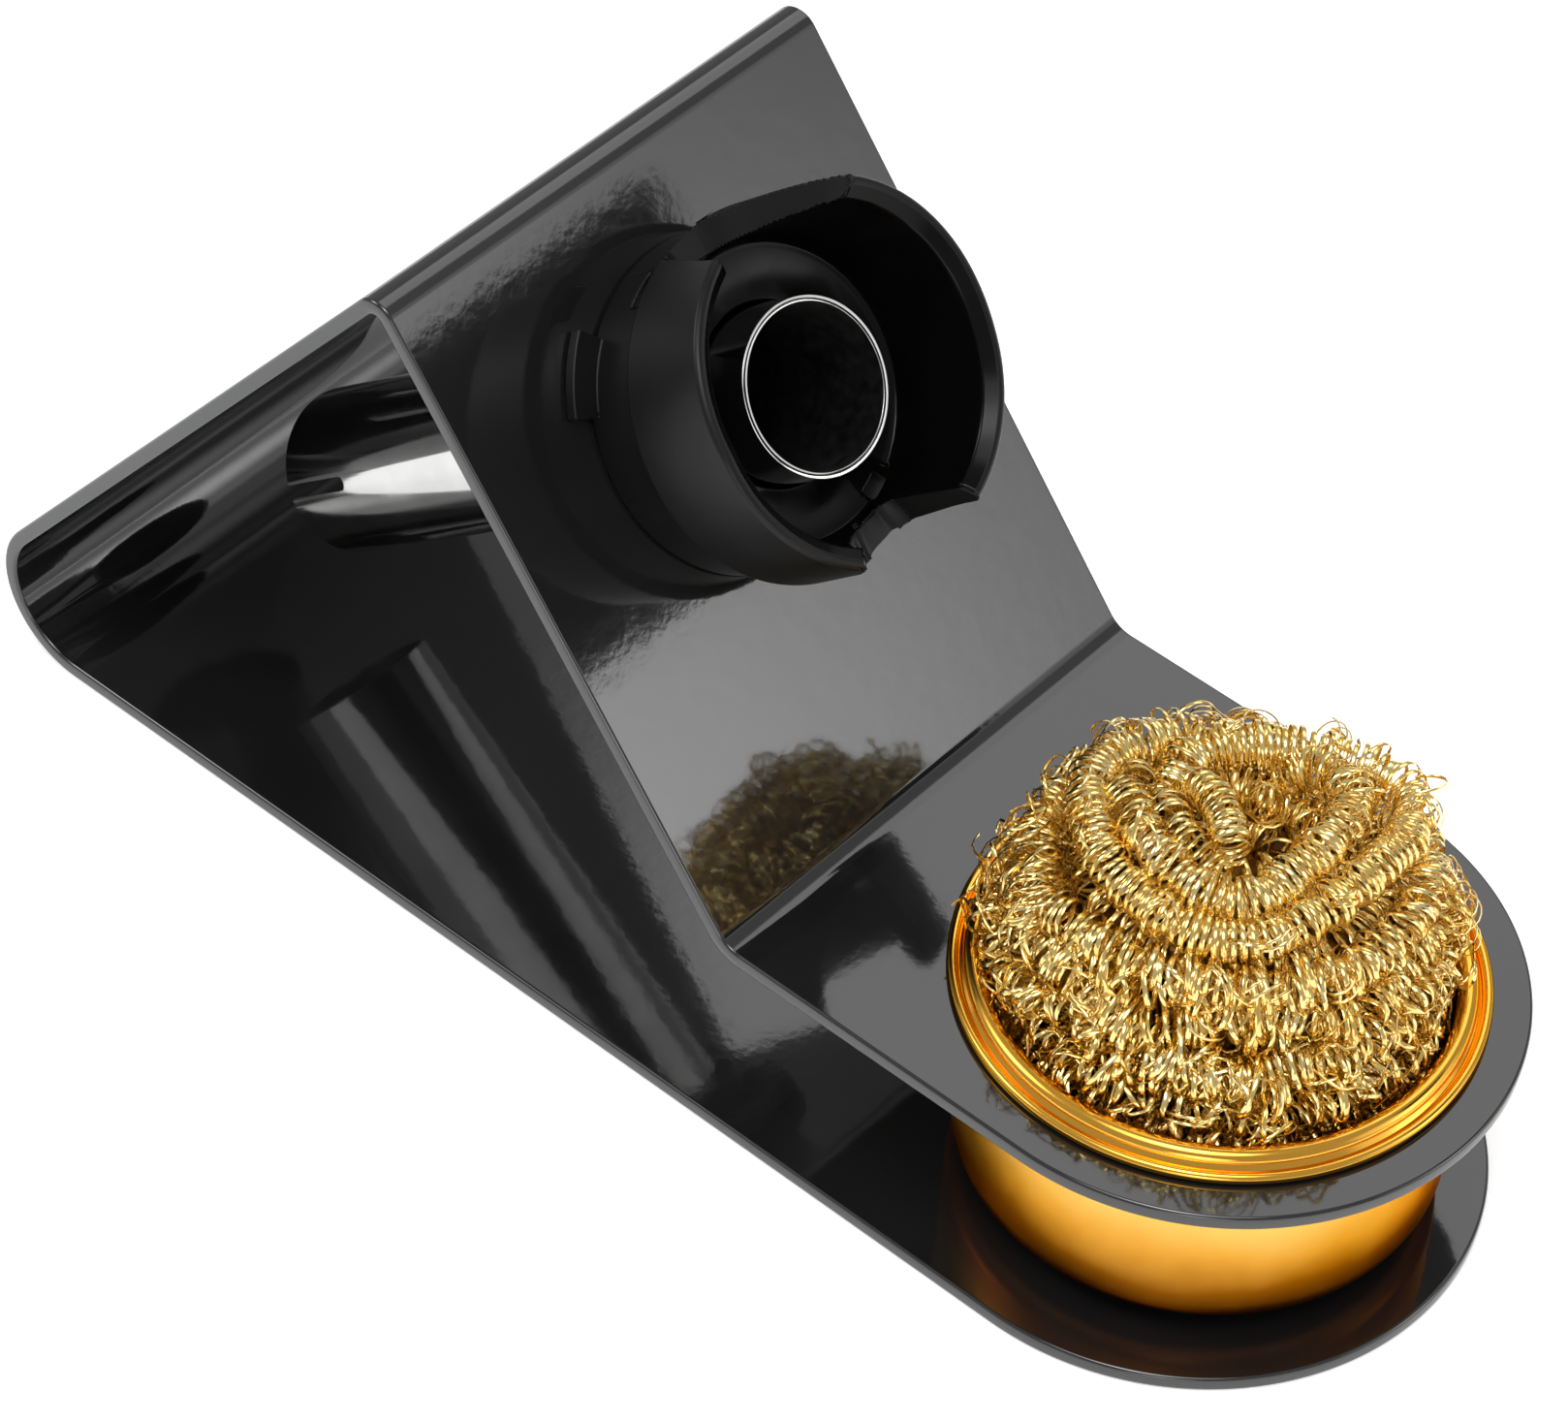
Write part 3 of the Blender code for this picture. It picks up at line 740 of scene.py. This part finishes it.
# ---------------------------- tin
def make_wool_tin(material):
    """Deep-drawn cup with a rolled lip, a groove and a beaded flange."""
    seat = SHELF_TOP + GAP
    inner = TIN_RADIUS - TIN_WALL
    bottom = TIN_BOTTOM
    roll_centre = (inner - 0.1 * MM, seat + 1.2 * MM)
    outline = [(0.0, bottom)]
    outline += arc((TIN_RADIUS - TIN_CORNER, bottom + TIN_CORNER), TIN_CORNER, -90.0, 0.0, 16)
    outline += [
        (TIN_RADIUS, seat),
        (TIN_FLANGE_RADIUS - 0.1 * MM, seat),
        (TIN_FLANGE_RADIUS, seat + 0.1 * MM),
        (TIN_FLANGE_RADIUS, seat + 0.35 * MM),
    ]
    outline += arc((TIN_FLANGE_RADIUS - 0.65 * MM, seat + 0.4 * MM), 0.65 * MM, 0.0, 150.0, 10)
    outline += arc(roll_centre, TIN_ROLL_RADIUS, 5.0, 200.0, 24)
    outline += [(inner, seat - 0.6 * MM)]
    corner = TIN_CORNER - TIN_WALL
    outline += arc((inner - corner, bottom + TIN_CORNER), corner, 0.0, -90.0, 12)
    outline += [(0.0, bottom + TIN_WALL)]
    return revolve("drawn_wool_tin", outline, Matrix.Translation((TIN_X, 0.0, 0.0)), material, steps=256)


# ---------------------------- brass wool
STRAND_WIDTH = 0.56 * MM
STRAND_THICKNESS = 0.20 * MM
STEPS_PER_TURN = 14
WOOL_LIMIT = TIN_RADIUS - TIN_WALL - TIN_ROLL_RADIUS - 0.5 * MM  # clear of the tin's lip
WOOL_FLOOR = TIN_BOTTOM + TIN_WALL + 0.4 * MM
CROSSING_ROPES = 18
OPEN_CURLS = 130
LOOSE_RIBBONS = 260
RING_SWEEP = 6.2  # radians: a rope ring stops just short of a full turn
ANY_ANGLE = 6.28  # radians: the top of a random angle's range

# The wool is laid out in millimetres as (left, forward, height): left and forward as the
# photograph's camera sees them, from the tin's axis, and height above the shelf.
LEFT = np.array([-math.cos(VIEW_AZIMUTH), -math.sin(VIEW_AZIMUTH), 0.0])
FORWARD = np.array([math.sin(VIEW_AZIMUTH), -math.cos(VIEW_AZIMUTH), 0.0])
WOOL_ORIGIN = np.array([TIN_X, 0.0, SHELF_TOP])

# rope rings laid round the axis:
# (piece, half width, half depth, shift left, shift forward, height, coil radius, pitch, looseness, wobble)
ROPE_RINGS = (
    ("wool_bottom_ropes", 6.0, 6.0, 0.0, 0.0, -23.0, 2.5, 1.6, 0.8, 0.4),
    ("wool_bottom_ropes", 13.0, 13.0, 0.0, 0.0, -23.2, 2.5, 1.6, 0.8, 0.4),
    ("wool_bottom_ropes", 19.5, 19.5, 0.0, 0.0, -22.8, 2.5, 1.6, 0.8, 0.3),
    ("wool_tin_ropes", 23.2, 23.2, 0.0, 0.0, -20.0, 2.5, 1.3, 0.8, 0.3),
    ("wool_tin_ropes", 23.3, 23.3, 0.0, 0.0, -16.0, 2.5, 1.3, 0.8, 0.3),
    ("wool_tin_ropes", 23.3, 23.3, 0.0, 0.0, -12.0, 2.5, 1.3, 0.8, 0.3),
    ("wool_tin_ropes", 23.3, 23.3, 0.0, 0.0, -8.0, 2.5, 1.3, 0.8, 0.3),
    ("wool_tin_ropes", 23.3, 23.3, 0.0, 0.0, -4.2, 2.5, 1.2, 0.8, 0.3),
    ("wool_foot_ropes", 23.0, 22.4, 0.0, 0.0, -2.0, 2.5, 1.05, 1.1, 0.5),
    ("wool_foot_ropes", 23.4, 22.4, 0.0, -0.4, 2.0, 2.4, 1.02, 1.1, 0.9),
    ("wool_foot_ropes", 19.6, 19.0, 0.0, 0.0, 2.4, 2.5, 1.15, 1.2, 1.0),
    ("wool_side_ropes", 23.6, 21.2, 0.4, -1.2, 6.5, 2.4, 1.00, 1.0, 1.2),
    ("wool_side_ropes", 22.8, 19.0, 0.6, -1.9, 11.1, 2.4, 1.00, 0.9, 1.1),
    ("wool_side_ropes", 18.8, 16.0, 0.4, -1.8, 8.0, 2.5, 1.15, 1.1, 1.1),
    ("wool_shoulder_ropes", 21.2, 18.0, 0.2, -2.2, 15.5, 2.4, 1.00, 0.7, 0.8),
    ("wool_shoulder_ropes", 16.0, 13.0, 0.0, -2.4, 13.5, 2.5, 1.15, 0.9, 0.8),
    ("wool_shoulder_ropes", 11.0, 8.6, 0.0, -3.6, 16.5, 2.4, 1.15, 0.8, 0.6),
    ("wool_shoulder_ropes", 5.0, 4.0, 0.0, -4.0, 15.6, 2.4, 1.15, 0.8, 0.5),
)

# ropes of the crown, each a line of (left, forward, height):
# (coil radius, pitch, looseness, points)
CROWN_ROPES = (
    # the long outer rope, from behind round the left, the front and the right to the back
    (2.45, 1.00, 0.30, (
        (0.5, -19.0, 17.8), (5.5, -17.8, 19.4), (10.5, -15.4, 20.2), (14.4, -12.2, 20.6),
        (16.4, -8.0, 20.6), (16.2, -3.2, 20.5), (14.4, 2.5, 20.0), (10.6, 7.5, 19.8), (5.8, 11.2, 19.6),
        (0.6, 12.6, 19.6), (-4.7, 11.2, 19.7), (-10.0, 6.9, 20.0), (-14.7, 1.5, 20.4),
        (-18.5, -3.4, 20.6), (-19.3, -8.5, 21.0), (-16.4, -12.5, 20.6), (-10.5, -14.8, 20.8),
        (-4.0, -15.6, 21.0), (1.8, -14.8, 21.2), (5.6, -12.6, 20.8), (7.4, -9.4, 19.8))),
    # the inner rope, bent like a V open to the back
    (2.45, 1.00, 0.22, (
        (14.2, -9.5, 19.5), (12.2, -5.5, 21.0), (11.0, -1.5, 21.6), (9.0, 2.4, 21.8), (6.2, 5.6, 21.6),
        (2.6, 7.8, 21.2), (-1.4, 8.0, 21.2), (-5.2, 4.9, 21.8), (-9.2, 0.2, 22.4), (-12.0, -4.6, 22.6),
        (-11.6, -9.6, 22.2), (-8.4, -12.4, 20.5), (-5.0, -13.2, 17.5))),
    # a shorter rope inside the V's left arm, and one that comes down the middle with an open end
    (2.2, 1.05, 0.4, (
        (8.5, -9.5, 17.5), (8.0, -5.8, 20.0), (7.2, -2.2, 21.6), (4.9, 2.2, 22.2), (2.0, 5.0, 21.0))),
    (2.1, 0.80, 0.2, (
        (5.5, -12.0, 17.5), (4.2, -9.2, 20.5), (2.8, -5.4, 22.6), (1.6, -1.2, 23.4), (0.9, 3.0, 23.0))),
    # two short coils that look towards the front
    (2.3, 0.85, 0.3, ((11.6, -11.4, 18.5), (11.4, -9.6, 20.2), (11.2, -7.4, 21.6))),
    (2.2, 0.85, 0.3, ((-2.5, -9.8, 17.5), (-3.0, -8.2, 19.6), (-3.5, -6.2, 21.0))),
)


def wool_place(layout):
    """World positions of (left, forward, height) rows given in millimetres."""
    layout = np.asarray(layout, dtype=float) * MM
    up = np.array([0.0, 0.0, 1.0])
    return WOOL_ORIGIN + layout[:, :1] * LEFT + layout[:, 1:2] * FORWARD + layout[:, 2:] * up


def wander(rng, length, size, waves=5):
    """A smooth random function of distance, with waves of about the given length."""
    rates = 2.0 * math.pi * rng.uniform(0.5, 1.5, waves) / length
    phases = rng.uniform(0.0, 2.0 * math.pi, waves)
    heights = rng.normal(0.0, size * math.sqrt(2.0 / waves), waves)

    def value(distance):
        return (heights[:, None] * np.sin(rates[:, None] * distance[None, :] + phases[:, None])).sum(0)

    return value


def resampled(points, count):
    """The same path with evenly spaced points, and their distances along it."""
    along = np.concatenate([[0.0], np.cumsum(np.linalg.norm(np.diff(points, axis=0), axis=1))])
    at = np.linspace(0.0, along[-1], count)
    return np.stack([np.interp(at, along, points[:, k]) for k in range(3)], axis=1), at


def smooth_line(points, steps=12):
    """A smooth line through the points (Catmull-Rom)."""
    points = np.asarray(points, dtype=float)
    padded = np.concatenate([[2.0 * points[0] - points[1]], points, [2.0 * points[-1] - points[-2]]])
    t = (np.arange(steps) / steps)[:, None]
    line = []
    for a, b, c, d in zip(padded, padded[1:], padded[2:], padded[3:]):
        line.append(b + 0.5 * t * (c - a + t * (2 * a - 5 * b + 4 * c - d + t * (3 * b - a - 3 * c + d))))
    return np.concatenate(line + [points[-1:]])


def unit(vectors):
    """The vectors, each scaled to length one."""
    return vectors / np.maximum(np.linalg.norm(vectors, axis=1, keepdims=True), 1e-12)


def ribbon_sections(rng, line, outward, width):
    """Corner points, four to a section, of a ribbon with bulging faces that follows a line."""
    heading = unit(np.gradient(line, axis=0))
    broad = unit(np.cross(heading, outward))
    deep = np.cross(broad, heading)
    distance = np.arange(len(line)) * 0.5 * MM
    twist = wander(rng, 9.0 * MM, 0.30)(distance)[:, None]
    across = broad * np.cos(twist) + deep * np.sin(twist)
    deep = np.cross(across, heading)
    half_w = across * width / 2.0
    half_t = deep * STRAND_THICKNESS / 2.0
    return np.stack([line - half_w, line - half_t, line + half_w, line + half_t], 1)


def kept_clear(line):
    """Hold a line inside the tin's lip and above its bottom."""
    x, y = line[:, 0] - TIN_X, line[:, 1]
    radius = np.hypot(x, y)
    low = line[:, 2] < SHELF_TOP + 3.2 * MM
    share = np.where(low, np.minimum(1.0, WOOL_LIMIT / np.maximum(radius, 1e-9)), 1.0)
    return np.stack([TIN_X + x * share, y * share, np.maximum(line[:, 2], WOOL_FLOOR)], 1)


def outward_from_middle(points):
    """Directions away from the middle of the wool."""
    return unit(points - (WOOL_ORIGIN + FORWARD * -2.0 * MM))


def coiled_strand(rng, points, coil, pitch, loose):
    """A ribbon coiled round a rope's path; loose = 0 is an even coil, 1 a tangled one."""
    length = float(np.linalg.norm(np.diff(points, axis=0), axis=1).sum())
    count = int(max(2.0, length / pitch) * STEPS_PER_TURN)
    centre, at = resampled(points, count)
    along = unit(np.gradient(centre, axis=0))
    across = unit(np.cross(along, outward_from_middle(centre)))
    up = np.cross(across, along)
    angle = 2.0 * math.pi * (at / pitch + wander(rng, 8.0 * MM, 0.3 * loose)(at) + rng.uniform())
    swell = 1.0 + wander(rng, 6.0 * MM, 0.09)(at) + wander(rng, 1.7 * MM, 0.07 * loose)(at)
    for place in rng.uniform(0.0, length, int(loose * length / (7.0 * MM))):
        swell += rng.uniform(0.05, 0.2 + 0.25 * loose) * np.exp(-(((at - place) / (0.8 * MM)) ** 2))
    outward = np.cos(angle)[:, None] * up + np.sin(angle)[:, None] * across
    lean = wander(rng, 7.0 * MM, 0.7 * loose * MM)(at) * np.sin(angle + wander(rng, 12.0 * MM, 2.0)(at))
    shift = across * wander(rng, 2.6 * MM, 0.35 * loose * MM)(at)[:, None]
    shift += up * wander(rng, 2.6 * MM, 0.35 * loose * MM)(at)[:, None]
    line = kept_clear(centre + outward * (coil * swell)[:, None] + shift + along * lean[:, None])
    return ribbon_sections(rng, line, outward, STRAND_WIDTH)


def ring_path(rng, half_width, half_depth, left, forward, height, wobble,
              start=None, sweep=RING_SWEEP, rise=0.0):
    """A rope laid round the axis, all in millimetres: its radius and height wander, and it may climb."""
    start = rng.uniform(0.0, 2.0 * math.pi) if start is None else start
    count = max(12, int(abs(sweep) * half_width * 2.0))
    angle = start + np.linspace(0.0, sweep, count)
    distance = np.abs(angle - start) * half_width
    swell = wander(rng, 26.0, 0.7 * wobble)(distance)
    height = height + wander(rng, 26.0, wobble)(distance) + rise * np.linspace(0.0, 1.0, count)
    lefts = left + (half_width + swell) * np.sin(angle)
    forwards = forward + (half_depth + swell) * np.cos(angle)
    return wool_place(np.stack([lefts, forwards, height], 1))


def open_curl(rng, place, outward, radius, turns, flat):
    """A stretch of thinner ribbon curled in open turns; flat = 1 lays them along the surface."""
    count = max(8, int(turns * 22))
    angle = np.linspace(0.0, 2.0 * math.pi * turns, count) + rng.uniform(0.0, ANY_ANGLE)
    axis = unit((rng.normal(0.0, 1.0, 3) + outward * (0.3 + 2.0 * flat))[None, :])[0]
    side = unit(np.cross(axis, rng.normal(0.0, 1.0, 3))[None, :])[0]
    other = np.cross(axis, side)
    spread = (np.linspace(-0.5, 0.5, count) * turns * rng.uniform(0.4, 1.6) * MM)[:, None]
    swell = radius * (1.0 + wander(rng, 1.0, 0.10)(np.linspace(0.0, 2.0, count)))[:, None]
    radial = side * np.cos(angle)[:, None] + other * np.sin(angle)[:, None]
    line = kept_clear(place + outward * radius * 0.35 * (1.0 - flat) + radial * swell + axis * spread)
    return ribbon_sections(rng, line, radial, rng.uniform(0.30, 0.50) * MM)


def strands_object(name, strands, material):
    """One mesh of many closed four-sided strands, its thin edges sharp and its bake map in rows."""
    points, quads, cells, start = [], [], [], 0
    for sections in strands:
        count = len(sections)
        points.append(sections.reshape(-1, 3))
        first = start + 4 * np.arange(count - 1)
        for side in range(4):
            after = (side + 1) % 4
            quads.append(np.stack([first + side, first + 4 + side, first + 4 + after, first + after], 1))
            cells.append(np.stack([first // 4, np.full(count - 1, side)], 1))
        last = start + 4 * (count - 1)
        caps = [[start, start + 1, start + 2, start + 3], [last + 3, last + 2, last + 1, last]]
        quads.append(np.array(caps))
        cells.append(np.array([[last // 4, 0], [last // 4, 2]]))
        start += 4 * count
    mesh = bpy.data.meshes.new(name)
    mesh.from_pydata(np.concatenate(points), [], np.concatenate(quads))
    mesh.shade_smooth()
    ends = np.empty(len(mesh.edges) * 2, dtype=np.int32)
    mesh.edges.foreach_get("vertices", ends)
    ends = ends.reshape(-1, 2)
    sharp = mesh.attributes.new("sharp_edge", "BOOLEAN", "EDGE")
    sharp.data.foreach_set("value", (np.abs(ends[:, 1] - ends[:, 0]) == 4) & (ends[:, 0] % 2 == 0))
    cell = np.concatenate(cells)
    columns = int(math.ceil(math.sqrt(start / 4.0)))
    low_u = (cell[:, 0] % columns) / columns
    low_v = (cell[:, 0] // columns + cell[:, 1] / 4.0) / columns
    low = np.stack([low_u, low_v], 1)
    steps = np.array([[0.0, 0.0], [0.96, 0.0], [0.96, 0.22], [0.0, 0.22]]) / columns
    bake_map = mesh.uv_layers.new(name="OFBake")
    bake_map.data.foreach_set("uv", (low[:, None, :] + steps[None, :, :]).ravel())
    mesh.materials.append(material)
    item = bpy.data.objects.new(name, mesh)
    bpy.context.scene.collection.objects.link(item)
    return item


def make_brass_wool(bright, depth):
    """Coiled ropes stacked in rings, a crown of bent ropes, crossing ropes, open curls, and a dark core of
    painted shade inside.
    """
    rng = np.random.default_rng(7)
    strands = defaultdict(list)
    surface = []
    for piece, half_width, half_depth, left, forward, height, coil, pitch, loose, wobble in ROPE_RINGS:
        path = ring_path(rng, half_width, half_depth, left, forward, height, wobble)
        strands[piece].append(coiled_strand(rng, path, coil * MM, pitch * MM, loose))
        if height > -2.0 and half_width > 20.0:
            surface.append(path)
    for coil, pitch, loose, points in CROWN_ROPES:
        path = wool_place(smooth_line(points))
        strands["wool_crown_ropes"].append(coiled_strand(rng, path, coil * MM, pitch * MM, loose))
        if len(points) > 10:
            surface.append(path)

    for _ in range(CROSSING_ROPES):
        height = rng.uniform(0.0, 15.0)
        shrink = 0.30 * height
        sweep = rng.uniform(0.5, 1.3) * rng.choice((-1.0, 1.0))
        path = ring_path(rng, 23.4 - 0.6 * shrink, 23.0 - shrink, 0.2, -0.15 * height, height, 1.0,
                         rng.uniform(0.0, ANY_ANGLE), sweep, rng.uniform(-4.5, 4.5))
        strand = coiled_strand(rng, path, rng.uniform(2.0, 2.7) * MM, 1.15 * MM, 1.2)
        strands["wool_crossing_ropes"].append(strand)

    points = np.concatenate(surface)
    outward = outward_from_middle(points)
    for _ in range(OPEN_CURLS):
        i = rng.integers(len(points))
        curl = open_curl(rng, points[i] + outward[i] * 1.0 * MM, outward[i], rng.uniform(1.6, 2.7) * MM,
                         rng.uniform(0.9, 2.3), 0.0)
        strands["wool_open_curls"].append(curl)
    for _ in range(LOOSE_RIBBONS):
        i = rng.integers(len(points))
        if points[i, 2] < SHELF_TOP + 15.0 * MM:
            curl = open_curl(rng, points[i] + outward[i] * 2.6 * MM, outward[i], rng.uniform(1.8, 4.0) * MM,
                             rng.uniform(0.25, 0.7), 1.0)
            strands["wool_loose_ribbons"].append(curl)

    pieces = [strands_object(name, parts, bright) for name, parts in strands.items()]
    # painted shade: a dark core fills the wool's middle, so the gaps between the ropes show dark
    outline = [(0.0, WOOL_FLOOR + 1.5 * MM), (19.0 * MM, WOOL_FLOOR + 1.5 * MM), (19.5 * MM, SHELF_TOP)]
    for radius, height in ((17.5, 4.0), (15.0, 8.0), (11.5, 11.0), (7.5, 13.0), (3.5, 14.0), (0.0, 14.2)):
        outline.append((radius * MM, SHELF_TOP + height * MM))
    core_place = Matrix.Translation(WOOL_ORIGIN - np.array([0.0, 0.0, SHELF_TOP]) + FORWARD * -1.5 * MM)
    pieces.append(revolve("wool_painted_shade_core", outline, core_place, depth, steps=96))
    return pieces


# ---------------------------- studio
def soft_card(name, azimuth, elevation, distance, radius, edge, core):
    """A round glowing card facing the stand: even at its edge value, brighter in the middle."""
    build = bmesh.new()
    bmesh.ops.create_circle(build, cap_ends=True, segments=64, radius=radius)
    n = Nodes(name)
    n.tree.nodes.remove(n.shader)
    away = n.add("ShaderNodeVectorMath", {0: n.coordinates}, operation="LENGTH").outputs["Value"]
    rim = {"Value": away, "From Min": 0.70 * radius, "From Max": radius, "To Min": 1.0, "To Max": 0.0}
    fade = n.add("ShaderNodeMapRange", rim, interpolation_type="SMOOTHSTEP").outputs["Result"]
    middle = {"Value": away, "From Min": 0.0, "From Max": 0.55 * radius, "To Min": core, "To Max": edge}
    glow = n.add("ShaderNodeMapRange", middle, interpolation_type="SMOOTHSTEP").outputs["Result"]
    emission = n.add("ShaderNodeEmission", {"Strength": glow})
    clear = n.add("ShaderNodeBsdfTransparent")
    mixed = n.add("ShaderNodeMixShader", {0: fade, 1: clear.outputs[0], 2: emission.outputs[0]})
    n.tree.links.new(mixed.outputs[0], n.tree.nodes["Material Output"].inputs["Surface"])
    card = finished(name, build, n.material)
    azimuth, elevation = math.radians(azimuth), math.radians(elevation)
    towards = Vector((math.cos(azimuth) * math.cos(elevation), math.sin(azimuth) * math.cos(elevation),
                      math.sin(elevation)))
    card.location = Vector((0.0, 0.0, 40.0 * MM)) + towards * distance
    card.rotation_euler = towards.to_track_quat("Z", "Y").to_euler()


def make_studio():
    """White surroundings, a pale floor lit from within like a light table, and soft cards."""
    world = bpy.data.worlds.new("white_studio")
    world.use_nodes = True
    background = world.node_tree.nodes["Background"]
    background.inputs["Color"].default_value = (1.0, 1.0, 1.0, 1.0)
    background.inputs["Strength"].default_value = 0.45
    bpy.context.scene.world = world
    bpy.context.scene.view_settings.view_transform = "Standard"

    reach = 3.0
    just_below = Matrix.Translation((0.0, 0.0, -0.05 * MM))
    n = Nodes("pale_floor")
    mottle = n.noise(12.0, detail=3.0)
    colour = n.ramp(mottle, [(0.3, (0.88, 0.88, 0.885)), (0.7, (0.90, 0.90, 0.905))])
    n.set(Base_Color=colour, Roughness=0.7, Emission_Color=colour, Emission_Strength=0.55)
    rectangle("studio_floor", reach, reach, just_below, n.material)

    # azimuth and elevation in degrees, distance and radius in metres, glow at the edge and in the middle
    soft_card("soft_card_front", 29.0, 18.5, 1.2, 0.62, 1.0, 3.7)
    soft_card("soft_card_back", 106.0, 49.0, 1.2, 0.45, 1.7, 1.6)
    soft_card("soft_card_left", 215.0, 42.0, 1.2, 0.38, 2.5, 11.0)
    soft_card("soft_card_top", -60.0, 70.0, 1.2, 0.45, 3.0, 13.0)
    soft_card("soft_card_low", -53.0, 10.0, 1.4, 0.34, 2.0, 6.0)


def make_flag(plate):
    """A plain black flag over the plate's far side: it keeps light off the gloss beside the holder."""
    height, middle_up, middle_near = 220.0 * MM, -54.0 * MM, -122.0 * MM
    half_up, half_near = 30.0 * MM, 42.0 * MM
    place = plate @ Matrix.Translation((middle_up, middle_near, height))
    n = Nodes("black_flag")
    felt = n.noise(500.0, detail=2.0)
    colour = n.ramp(felt, [(0.3, (0.006, 0.006, 0.006)), (0.7, (0.012, 0.012, 0.012))])
    n.set(Base_Color=colour, Roughness=0.9, Specular_IOR_Level=0.1)
    flag = rectangle("black_flag", half_up, half_near, place, n.material)
    flag.visible_camera = False


def make_camera():
    """Camera at the photograph's angle: a long lens from the near front, looking down."""
    middle = (cad_low + cad_high) / 2.0
    target = Vector((middle.x + 2.1 * MM, middle.y - 5.4 * MM, cad_low.z + 34.6 * MM))
    level = math.cos(VIEW_ELEVATION)
    back = Vector((math.sin(VIEW_AZIMUTH) * level, -math.cos(VIEW_AZIMUTH) * level, math.sin(VIEW_ELEVATION)))
    data = bpy.data.cameras.new("studio_camera")
    data.lens = VIEW_LENS
    data.sensor_width = SENSOR_WIDTH
    data.clip_start, data.clip_end = 0.01, 20.0
    camera = bpy.data.objects.new("studio_camera", data)
    turn = (-back).to_track_quat("-Z", "Y").to_matrix().to_4x4() @ Matrix.Rotation(VIEW_ROLL, 4, "Z")
    camera.matrix_world = Matrix.Translation(target + back * VIEW_DISTANCE * MM) @ turn
    bpy.context.scene.collection.objects.link(camera)
    bpy.context.scene.camera = camera


# ---------------------------- assembly
def main():
    """Build the studio and every piece, attach each piece to its body and hide the frame part that it
    replaces.
    """
    make_camera()
    make_studio()
    plate = plate_frame()
    make_flag(plate)
    body = make_stand_body(powder_coat(), plate)
    holder = make_iron_holder(holder_plastic(), shaded_inside_plastic(), plate)
    ring = make_lock_ring(ring_plastic(), plate)
    tube = make_guide_tube(polished_steel(), dull_steel(), plate)
    tin = make_wool_tin(anodised_gold())
    parts = [
        (body, "stand", "stand_body", "powder_coated_sheet"),
        (holder, "stand", "iron_holder", "holder_plastic"),
        (ring, "stand", "holder_lock_ring", "ring_plastic"),
        (tube, "stand", "guide_tube", "polished_tube"),
        (tin, "tin", "wool_tin", "anodised_tin"),
    ]
    for piece in make_brass_wool(brass_ribbon(), wool_shadow()):
        parts.append((piece, "wool", "brass_wool", "wool"))
    for piece, body, node, slot in parts:
        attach(piece, body)
        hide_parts(node)


main()

bpy.context.view_layer.update()
